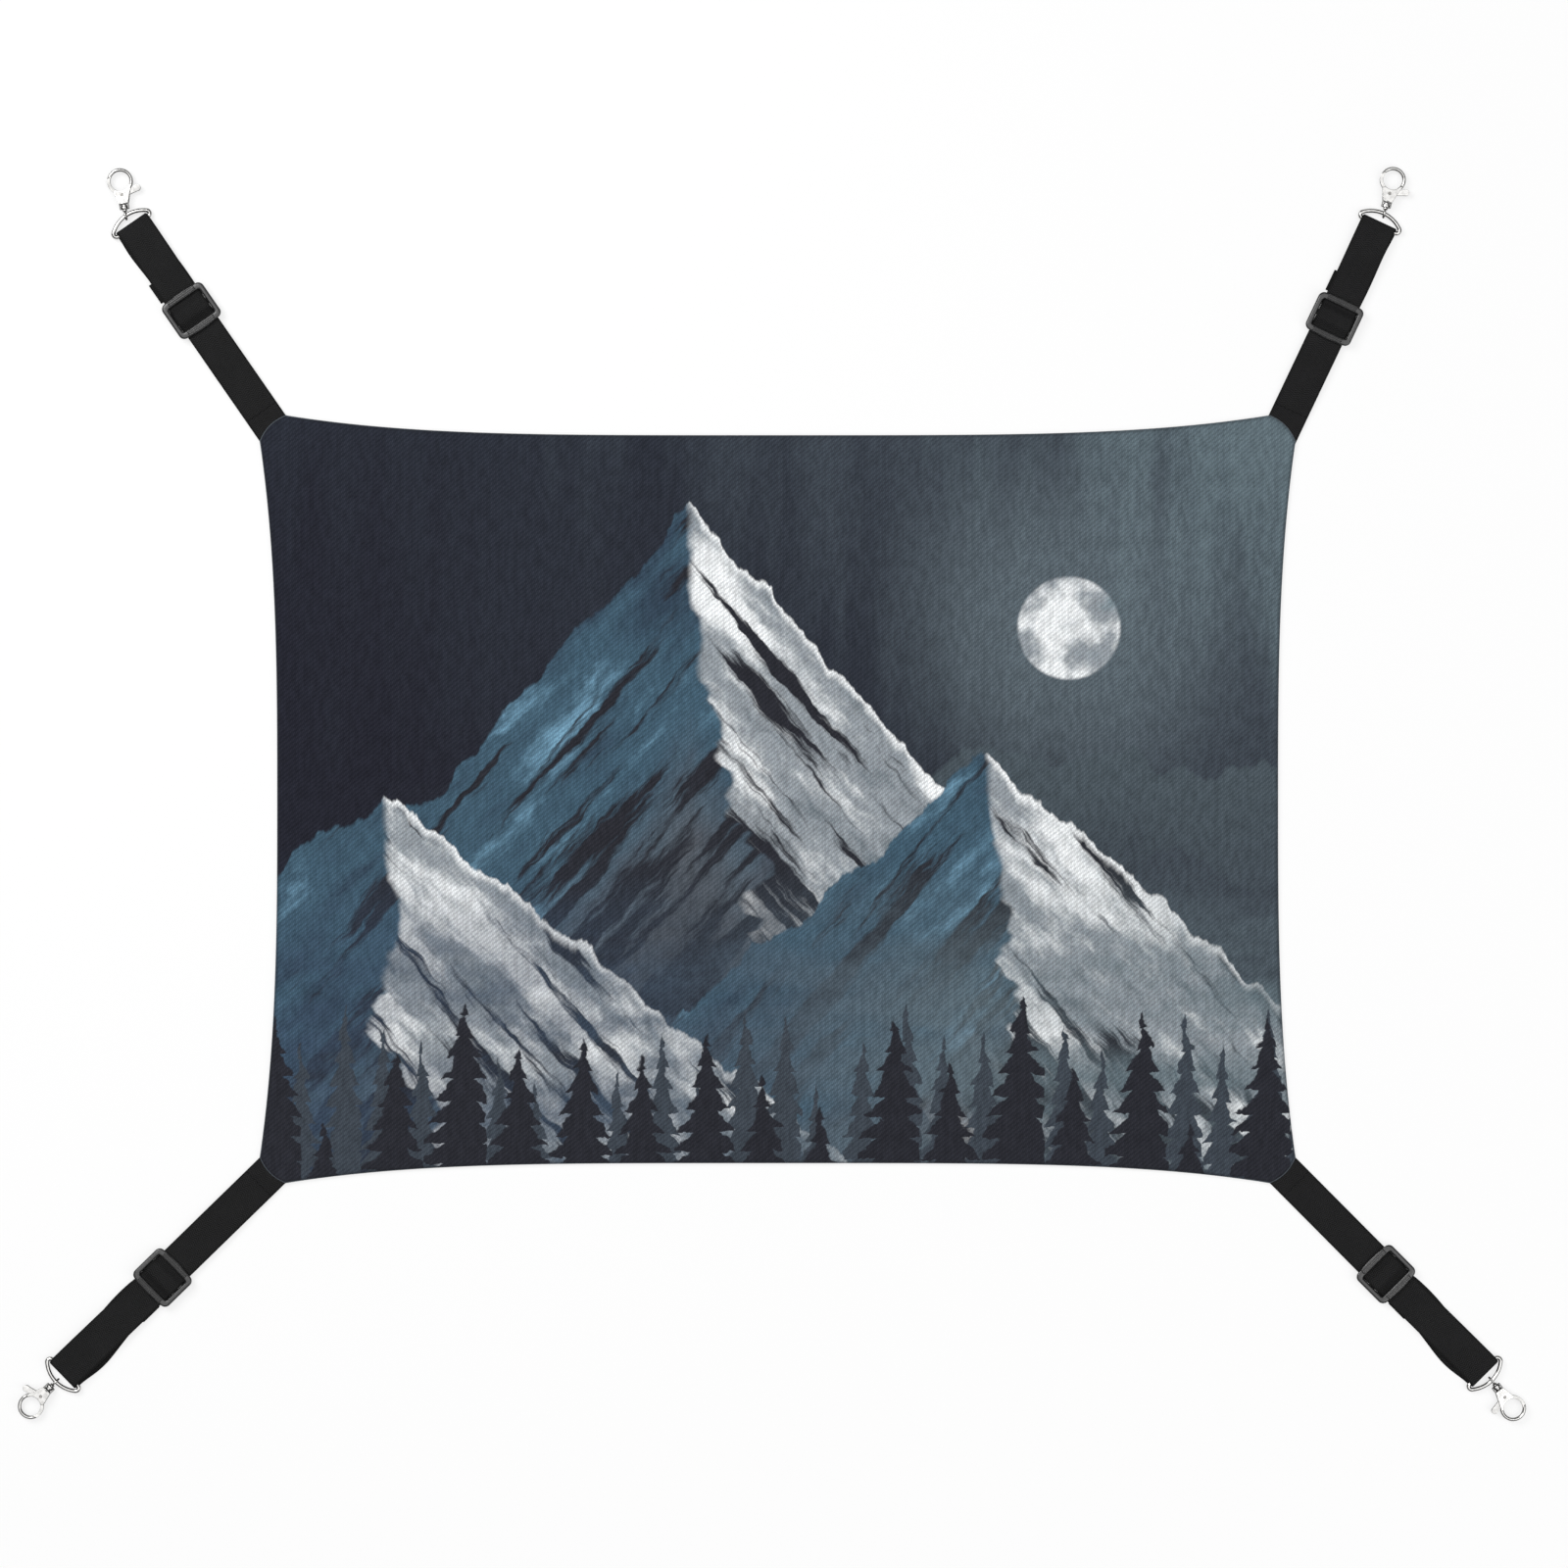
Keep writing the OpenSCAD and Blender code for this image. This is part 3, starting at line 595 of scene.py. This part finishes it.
def arc(middle, radius, start, end, count):
    return [(middle[0] + radius * math.cos(math.radians(start + (end - start) * k / count)),
             middle[1] + radius * math.sin(math.radians(start + (end - start) * k / count)))
            for k in range(count + 1)]


def webbing_section():
    """Outline of the webbing cut across: round edges, and a slightly thicker cord along each edge."""
    count = SECTION_POINTS
    shares = [math.sin(math.pi / 2 * k / count) for k in range(-count, count + 1)]
    top = []
    for share in shares:
        body = STRAP_T / 2 * math.sqrt(max(1 - abs(share) ** 22, 0.02))
        cord = EDGE_CORD * math.exp(-((abs(share) - 0.93) / 0.035) ** 2)
        top.append((share * STRAP_W / 2, body + cord))
    return top + [(t, -n) for t, n in reversed(top)]


SECTION = webbing_section()


def band(low, high, sides):
    """Faces between two rings of vertices, numbered from low and from high."""
    return [(low + k, low + (k + 1) % sides, high + (k + 1) % sides, high + k) for k in range(sides)]


def lofted(rings, sides):
    """Faces of a closed form that runs through rings of vertices, with an end cap on each end."""
    faces = []
    for i in range(rings - 1):
        faces += band(i * sides, (i + 1) * sides, sides)
    faces.append(tuple(range(sides)))
    faces.append(tuple((rings - 1) * sides + k for k in reversed(range(sides))))
    return faces


def ribbon(strap, path, start=0.0, spread=0.0):
    """Vertices, faces and weave places of webbing that follows a path of (s, z, t) places.

    The webbing spreads sideways by a share of its width, except at the ends of the path.
    """
    vertices = []
    weave = []
    run = start
    last = len(path) - 1
    for i, (s, z, t) in enumerate(path):
        before = path[max(i - 1, 0)]
        after = path[min(i + 1, last)]
        slope = Vector((after[0] - before[0], after[1] - before[1])).normalized()
        if i:
            run += math.dist(path[i][:2], path[i - 1][:2])
        wider = 1 + spread * min(3 * math.sin(math.pi * i / last), 1)
        for across, out in SECTION:
            vertices.append(strap.place(s - slope.y * out, t + across * wider, z + slope.x * out))
            weave.append((across, run))
    return vertices, lofted(last + 1, len(SECTION)), weave


def joined(*lots):
    """Several lots of vertices, faces and, on cloth, weave places as one."""
    vertices, faces, weave = [], [], []
    for lot_vertices, lot_faces, *lot_weave in lots:
        first = len(vertices)
        vertices += lot_vertices
        faces += [tuple(first + k for k in face) for face in lot_faces]
        for places in lot_weave:
            weave += places
    return vertices, faces, weave


def webbing_root(strap, material):
    """Sewn end between the panels, and the bend where the strap lifts from the mat."""
    path = [(s, strap.run_z(s), 0.0) for s in steps(-TAB_IN - TAB_OUT, ROOT_END, 0.5 * MM)]
    vertices, faces, weave = ribbon(strap, path, -TAB_IN - TAB_OUT)
    piece = new_piece(f"webbing_root_{strap.corner}", vertices, faces, material, weave)
    strap.place(-2.5 * MM)
    strap.place(4.5 * MM)
    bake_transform(piece)
    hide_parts(f"strap_tab_{strap.corner}")


def webbing_run(strap, material):
    """Single webbing from the bend to the slider, with a slight natural wave."""
    end = strap.slider - HUMP_L
    path = []
    for s in steps(ROOT_END, end, 1.0 * MM):
        share = (s - ROOT_END) / (end - ROOT_END)
        path.append((s, strap.run_z(s) + RUN_WAVE * math.sin(math.pi * share) ** 2, 0.0))
    vertices, faces, weave = ribbon(strap, path, ROOT_END)
    piece = new_piece(f"webbing_run_{strap.corner}", vertices, faces, material, weave)
    strap.place(ROOT_END)
    strap.place(end)
    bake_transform(piece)
    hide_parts(f"strap_run_{strap.corner}")


def webbing_wrap(strap, material):
    """Webbing humped over the middle bar, and the sewn end that turns back round that bar."""
    middle = strap.slider
    ds = steps(-HUMP_L, HUMP_L, 0.5 * MM)
    over = [(middle + d, FRONT_Z + (HUMP_Z - FRONT_Z) * swell(d), 0.0) for d in ds]
    under_top = []
    for d in [d for d in reversed(ds) if d >= 0]:
        rise = (swell(d + 0.1 * MM) - swell(d - 0.1 * MM)) / (0.2 * MM) * (HUMP_Z - FRONT_Z)
        size = math.hypot(rise, 1)
        z = FRONT_Z + (HUMP_Z - FRONT_Z) * swell(d)
        under_top.append((middle + d + LAYER * rise / size, z - LAYER / size, 0.0))
    turn = [(middle + s, z, 0.0) for s, z in arc((-BAR_FLAT, BAR_Z), WRAP_R, 90, 270, 16)]
    low = BAR_Z - WRAP_R
    under = [(middle + d, RETURN_Z + (low - RETURN_Z) * swell(d), 0.0) for d in ds if d > 0]
    humped = ribbon(strap, over, middle - HUMP_L, WRAP_SPREAD)
    vertices, faces, weave = joined(humped, ribbon(strap, under_top + turn + under))
    piece = new_piece(f"webbing_wrap_{strap.corner}", vertices, faces, material, weave)
    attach(piece, f"slider_{strap.corner}")
    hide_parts(f"strap_wrap_{strap.corner}")


# Each loop's skew at its fold (the return layer to the left of the front one), how far the return layer
# strays sideways before the fold, and how far the sewn end lies to the left
SKEW = dict(zip(CORNERS, (0.8 * MM, -0.9 * MM, 1.0 * MM, -1.0 * MM)))
STRAY = dict(zip(CORNERS, (0.6 * MM, 0.5 * MM, 2.0 * MM, -2.0 * MM)))
SEWN_SHIFT = dict(zip(CORNERS, (1.6 * MM, 1.4 * MM, 0.4 * MM, -0.4 * MM)))


def webbing_loop(strap, material, thread):
    """Webbing from the slider round the D-ring's bar and back, with its end sewn inside."""
    start = strap.slider + HUMP_L
    skew = SKEW[strap.corner] / 2
    stray = STRAY[strap.corner]
    top_z = strap.ring_z + FOLD_R
    front = []
    back = []
    for s in steps(start, strap.ring, 1.0 * MM)[:-1]:
        share = (s - start) / (strap.ring - start)
        ease = eased(share)
        front.append((s, FRONT_Z + (top_z - FRONT_Z) * ease, -skew * ease))
        sway = math.sin(math.pi * share ** 2) ** 2 - 0.5 * math.sin(math.pi * share ** 0.5) ** 2
        back.append((s, RETURN_Z, skew * ease + stray * sway))
    fold = arc((strap.ring, strap.ring_z), FOLD_R, 90, -90, 20)
    turn = [(s, z, skew * (k / 10 - 1)) for k, (s, z) in enumerate(fold)]
    aside = SEWN_SHIFT[strap.corner]
    sewn = [(s, SEWN_Z, aside) for s in steps(start + SEWN_START, start + SEWN_L, 1.0 * MM)]
    vertices, faces, weave = joined(ribbon(strap, front + turn + back[::-1], start), ribbon(strap, sewn))
    piece = new_piece(f"webbing_loop_{strap.corner}", vertices, faces, material, weave)
    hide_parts(f"strap_loop_{strap.corner}")
    tack = bar_tack(strap, start, thread)
    for soft in (piece, tack):
        strap.place(start)
        strap.place(strap.ring - 1 * MM)
        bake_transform(soft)


def tube(path, radius, sides=6):
    """Vertices and faces of a thread along a path of points."""
    vertices = []
    last = len(path) - 1
    for i, point in enumerate(path):
        ahead = (path[min(i + 1, last)] - path[max(i - 1, 0)]).normalized()
        side = ahead.cross(Vector((0, 0, 1))).normalized()
        up = side.cross(ahead)
        for k in range(sides):
            turn = math.tau * k / sides
            vertices.append(point + (side * math.cos(turn) + up * math.sin(turn)) * radius)
    return vertices, lofted(last + 1, sides)


def bar_tack(strap, start, material):
    """Two zigzag rows of thread, across the underside, that hold the strap's end."""
    rows = []
    for row in TACK_ROWS:
        path = []
        for k in range(TACK_POINTS + 1):
            t = (k / TACK_POINTS - 0.5) * TACK_W
            s = start + row + (TACK_ZIGZAG if k % 2 else -TACK_ZIGZAG)
            path.append(strap.place(s, t, TACK_Z))
        rows.append(tube(path, THREAD_R))
    vertices, faces, _ = joined(*rows)
    piece = new_piece(f"bar_tack_{strap.corner}", vertices, faces, material)
    return piece


def box_reach(angle, half_s, half_t, radius, bow):
    """Distance from the middle, in a direction, to the edge of a round-cornered box whose ends bow out."""
    low, high = 0.0, half_s + half_t
    for _ in range(40):
        far = (low + high) / 2
        t = abs(far * math.sin(angle))
        s = abs(far * math.cos(angle)) + bow * (t / half_t) ** 2
        corner = math.hypot(max(s - half_s + radius, 0), max(t - half_t + radius, 0))
        low, high = (far, high) if corner <= radius else (low, far)
    return low


def slider_frame(strap):
    """Vertices and faces of the slider's window frame: soft, rounded rails and outer bars."""
    count, sides = 240, 24
    vertices = []
    for i in range(count):
        angle = math.tau * i / count
        inner = box_reach(angle, WINDOW_L / 2, WINDOW_W / 2, WINDOW_CORNER, 0.0)
        outer = box_reach(angle, SLIDER_L / 2, SLIDER_W / 2, SLIDER_CORNER, SLIDER_BOW)
        middle_s = abs((inner + outer) / 2 * math.cos(angle))
        share = min(max((middle_s - RAIL_END) / RAIL_RISE, 0), 1)
        bottom = RAIL_Z + (CROSSBAR_Z - RAIL_Z) * eased(share)
        for k in range(sides):
            turn = math.tau * k / sides
            across = math.copysign(abs(math.cos(turn)) ** BAR_SQUARE, math.cos(turn))
            up = math.copysign(abs(math.sin(turn)) ** BAR_SQUARE, math.sin(turn))
            far = (inner + outer) / 2 + (outer - inner) / 2 * across
            z = (bottom + SLIDER_TOP) / 2 + (SLIDER_TOP - bottom) / 2 * up
            vertices.append(strap.place(strap.slider + far * math.cos(angle), far * math.sin(angle), z))
    faces = []
    for i in range(count):
        faces += band(i * sides, (i + 1) % count * sides, sides)
    return vertices, faces


def slider_bar(strap):
    """Vertices and faces of the slider's middle bar, flat with round edges."""
    half = WINDOW_W / 2 + BAR_SEAT
    edge = arc((BAR_FLAT, BAR_Z), BAR_T / 2, -90, 90, 8) + arc((-BAR_FLAT, BAR_Z), BAR_T / 2, 90, 270, 8)
    vertices = [strap.place(strap.slider + s, t, z) for t in steps(-half, half, 2.0 * MM) for s, z in edge]
    return vertices, lofted(len(vertices) // len(edge), len(edge))


def slider(strap, material):
    """Three-bar adjuster with three fine grip ribs along each outer bar."""
    lots = [slider_frame(strap), slider_bar(strap)]
    for side in (-1, 1):
        for rib in (-1, 0, 1):
            s = strap.slider + side * HUMP_L + rib * RIB_PITCH
            path = [strap.place(s, t, SLIDER_TOP) for t in steps(-RIB_L / 2, RIB_L / 2, 1.0 * MM)]
            lots.append(tube(path, RIB_R, 12))
    vertices, faces, _ = joined(*lots)
    piece = new_piece(f"slider_body_{strap.corner}", vertices, faces, material)
    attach(piece, f"slider_{strap.corner}")
    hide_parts(f"slider_{strap.corner}")


def mat_outline():
    """Places round the mat, anticlockwise from the back right corner: hollow edges, rounded corner cuts."""
    cut = STRAP_W / math.sqrt(2)
    tip_x = HALF_W + FLARE_W
    tip_y = HALF_D + FLARE_D
    end_x = tip_x - cut
    end_y = tip_y - cut
    back = [Vector((-s * end_x, HALF_D + FLARE_D * abs(s) ** FLARE_POWER_D)) for s in steps(-1, 1, 1 / 90)]
    side = [Vector((-HALF_W - FLARE_W * abs(s) ** FLARE_POWER_W, -s * end_y)) for s in steps(-1, 1, 1 / 68)]
    half = back + corner_arc(back[-1], side[0]) + side + corner_arc(side[-1], -back[0])
    return half + [-point for point in half]


def corner_arc(start, end):
    """Places between two points on a shallow arc that bulges away from the mat's middle."""
    out = Vector((end.y - start.y, start.x - end.x)).normalized()
    if out.dot(start) < 0:
        out = -out
    shares = [k / 16 for k in range(1, 16)]
    return [start.lerp(end, share) + out * CORNER_BULGE * 4 * share * (1 - share) for share in shares]


def inward_ways(edge):
    """Directions in from each place on the outline, evened out over a few millimetres."""
    count = len(edge)
    normals = []
    for i in range(count):
        run = edge[(i + 1) % count] - edge[i - 1]
        normals.append(Vector((-run.y, run.x)) if run.cross(-edge[i]) > 0 else Vector((run.y, -run.x)))
    ways = []
    for point in edge:
        way = Vector((0, 0))
        for other, normal in zip(edge, normals):
            apart = (other - point).length / EVEN_OUT
            if apart < 3:
                way += normal * math.exp(-apart * apart)
        ways.append(way.normalized())
    return ways


def tab_cover(x, y):
    """1 where a strap's sewn end lies between the panels, falling to 0 round it."""
    most = 0.0
    for strap in straps.values():
        s, t = strap.offset(Vector((x, y, strap.bend_z)))
        over = max(abs(t) - STRAP_W / 2 - TAB_SLACK, -TAB_IN - TAB_OUT - TAB_SLACK - s, 0.0)
        most = max(most, eased(max(0.0, 1 - over / TAB_FALL)))
    return most


def ruffle(x, y, seed):
    """Slight unevenness of the cloth, in metres."""
    broad = noise.noise(Vector((x * 11, y * 11, seed))) * 0.45 * MM
    fine = noise.noise(Vector((x * 38, y * 38, seed + 5))) * 0.12 * MM
    return broad + fine


def panel(name, material, seam_side, node):
    """One panel of the mat as a thin closed cloth: seam_side is 1 for the face and -1 for the reverse."""
    edge = mat_outline()
    count = len(edge)
    inward = inward_ways(edge)
    rings = [[(edge[i] + inward[i] * d, d) for i in range(count)] for d in SEAM_RINGS]
    last = [point for point, _ in rings[-1]]
    for k in range(1, PANEL_RINGS):
        share = 1 - k / PANEL_RINGS
        rings.append([(point * share, SEAM_RINGS[-1] + HALF_D * (1 - share)) for point in last])
    middle = (Vector((0, 0)), HALF_D)
    arc_place = [0.0]
    for i in range(1, count):
        arc_place.append(arc_place[-1] + (edge[i] - edge[i - 1]).length)

    def inner_z(point):
        return PANEL_T + seam_side * (TAB_LIFT * tab_cover(point.x, point.y) + SEAM_GAP)

    def outer_z(point, d, i):
        seam = inner_z(point)
        share = min(d / SEAM_ROLL, 1.0)
        if seam_side > 0:
            pucker = noise.noise(Vector((arc_place[i] * 95, 3.0, 1.0))) * 0.3 * MM * math.exp(-d / (9 * MM))
            lift = TAB_SHOW * tab_cover(point.x, point.y)
            full = 2 * PANEL_T + lift + ruffle(point.x, point.y, 1.0) + pucker
        else:
            full = 0.12 * MM * (1 + noise.noise(Vector((point.x * 30, point.y * 30, 8.0))))
        return seam + (full - seam) * math.sqrt(1 - (1 - share) ** 2)

    vertices = [Vector((*point, inner_z(point))) for point in edge]
    weave = [(0.0, along) for along in arc_place]
    for outer in (True, False):
        for ring in rings:
            for i, (point, d) in enumerate(ring):
                z = outer_z(point, d, i) if outer else inner_z(point)
                vertices.append(Vector((*point, z)))
                weave.append((d, arc_place[i]))
    centre_outer = len(vertices)
    weave += [(HALF_D, 0.0)] * 2
    vertices.append(Vector((0, 0, outer_z(middle[0], middle[1], 0))))
    vertices.append(Vector((0, 0, inner_z(middle[0]))))
    faces = []
    for layer in range(2):
        order = [0] + [1 + layer * len(rings) + k for k in range(len(rings))]
        for a, b in zip(order, order[1:]):
            faces += band(a * count, b * count, count)
        inner = order[-1] * count
        faces += [(inner + i, inner + (i + 1) % count, centre_outer + layer) for i in range(count)]
    piece = new_piece(name, vertices, faces, material, weave)
    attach(piece, "mat")
    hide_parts(node)
    return piece, edge


def dressed(node, material):
    """A CAD piece with its finish."""
    piece = frame["nodes"][node]
    piece.data.materials.clear()
    piece.data.materials.append(material)
    return piece


def round_edges(node, material, width):
    """Gives a CAD piece its finish and softens its edges."""
    piece = dressed(node, material)
    weld = piece.modifiers.new("weld", "WELD")
    weld.merge_threshold = 0.002 * MM
    bevel = piece.modifiers.new("edges", "BEVEL")
    bevel.width = width
    bevel.segments = 3
    bevel.limit_method = "ANGLE"
    bevel.angle_limit = math.radians(32)
    bevel.harden_normals = True


def cast_shape(node, material, grain):
    """Gives a CAD piece its finish and the soft edges of a casting."""
    piece = dressed(node, material)
    remesh = piece.modifiers.new("casting", "REMESH")
    remesh.mode = "VOXEL"
    remesh.voxel_size = grain
    remesh.use_smooth_shade = True
    smooth = piece.modifiers.new("soften", "SMOOTH")
    smooth.factor = 0.5
    smooth.iterations = 5


# Materials
face_cloth = canvas("face_fabric", print_color)
reverse_cloth = canvas("back_fabric", reverse_color)
webbing_cloth = webbing_material()
thread = thread_material()
plastic = plastic_material()
nickel = metal_material("nickel", (0.36, 0.356, 0.348, 1), (0.52, 0.515, 0.505, 1), 0.09, 0.20)
pin_steel = metal_material("pin_steel", (0.16, 0.155, 0.15, 1), (0.26, 0.25, 0.24, 1), 0.28, 0.42)
spring_steel = metal_material("spring_steel", (0.38, 0.38, 0.38, 1), (0.52, 0.52, 0.52, 1), 0.25, 0.4)

# Mat
mat_face, outline = panel("mat_face", face_cloth, 1, "mat_top")
mat_reverse, _ = panel("mat_reverse", reverse_cloth, -1, "mat_back")

# Straps and hardware
for corner in CORNERS:
    strap = straps[corner]
    webbing_root(strap, webbing_cloth)
    webbing_run(strap, webbing_cloth)
    webbing_wrap(strap, webbing_cloth)
    webbing_loop(strap, webbing_cloth, thread)
    slider(strap, plastic)
    cast_shape(f"clasp_body_{corner}", nickel, 0.13 * MM)
    cast_shape(f"trigger_{corner}", nickel, 0.11 * MM)
    cast_shape(f"swivel_eye_{corner}", nickel, 0.11 * MM)
    cast_shape(f"d_ring_{corner}", nickel, 0.16 * MM)
    round_edges(f"trigger_pin_{corner}", pin_steel, 0.12 * MM)
    round_edges(f"trigger_spring_{corner}", spring_steel, 0.02 * MM)

# Floor: white to the camera and to mirror-like surfaces, with the object's soft shadow
FLOOR_HALF = 4.0
FLOOR_Z = -0.3 * MM
FLOOR_GLOW = 0.7
floor_corners = [(x * FLOOR_HALF, y * FLOOR_HALF, FLOOR_Z) for x, y in ((-1, -1), (1, -1), (1, 1), (-1, 1))]
floor_mesh = bpy.data.meshes.new("floor")
floor_mesh.from_pydata(floor_corners, [], [(0, 1, 2, 3)])
floor = bpy.data.objects.new("floor", floor_mesh)
scene.collection.objects.link(floor)


def floor_material():
    """Pale matt floor with a white glow that only straight views and reflections see."""
    shader = Shader("floor")
    shader.finish((0.86, 0.86, 0.86, 1), 0.9, Specular_IOR_Level=0.1)
    glow = shader.add("ShaderNodeEmission")
    rays = shader.add("ShaderNodeLightPath").outputs
    seen = shader.math("MAXIMUM", rays["Is Camera Ray"], rays["Is Glossy Ray"])
    seen = shader.math("MAXIMUM", seen, rays["Is Transmission Ray"])
    both = shader.add("ShaderNodeMixShader")
    shader.feed(both.inputs[0], shader.times(seen, FLOOR_GLOW))
    shader.feed(both.inputs[1], shader.surface.outputs[0])
    shader.feed(both.inputs[2], glow.outputs[0])
    shader.feed(shader.tree.nodes["Material Output"].inputs["Surface"], both.outputs[0])
    return shader.material


floor_mesh.materials.append(floor_material())

# Grey of the studio dome at heights from the horizon to straight above
DOME = ((0.0, 0.30), (0.05, 0.02), (0.76, 0.02), (0.88, 0.90), (1.0, 1.0))
DOME_LIGHT = 2.0


def studio_world():
    """Dome of light, bright overhead and dark at its sides, with a faint glow on the horizon."""
    world = bpy.data.worlds.new("studio")
    world.use_nodes = True
    nodes = world.node_tree.nodes
    join = world.node_tree.links.new
    place = nodes.new("ShaderNodeTexCoord")
    height = nodes.new("ShaderNodeSeparateXYZ")
    dome = nodes.new("ShaderNodeValToRGB")
    set_stops(dome.color_ramp, [(low, (grey, grey, grey, 1)) for low, grey in DOME])
    join(place.outputs["Generated"], height.inputs[0])
    join(height.outputs["Z"], dome.inputs[0])
    join(dome.outputs[0], nodes["Background"].inputs["Color"])
    nodes["Background"].inputs["Strength"].default_value = DOME_LIGHT
    return world


scene.world = studio_world()


def area_lamp(name, place, size, power):
    """Soft square lamp that faces the middle of the mat."""
    light = bpy.data.lights.new(name, "AREA")
    light.shape = "SQUARE"
    light.size = size
    light.energy = power
    lamp = bpy.data.objects.new(name, light)
    lamp.location = place
    lamp.rotation_mode = "QUATERNION"
    lamp.rotation_quaternion = (-Vector(place)).to_track_quat("-Z", "Y")
    scene.collection.objects.link(lamp)


area_lamp("key", (-1.3, 1.1, 1.9), 1.2, 32)
area_lamp("fill", (1.6, -0.9, 1.7), 1.6, 16)

# Camera straight above, far off, as in the photograph
camera_data = bpy.data.cameras.new("camera")
camera_data.sensor_width = SENSOR
camera_data.lens = SENSOR * CAMERA_HEIGHT / VIEW_W
camera_data.clip_end = 20
camera = bpy.data.objects.new("camera", camera_data)
camera.location = (*VIEW_MIDDLE, CAMERA_HEIGHT)
scene.collection.objects.link(camera)
scene.camera = camera
scene.view_settings.view_transform = "Standard"
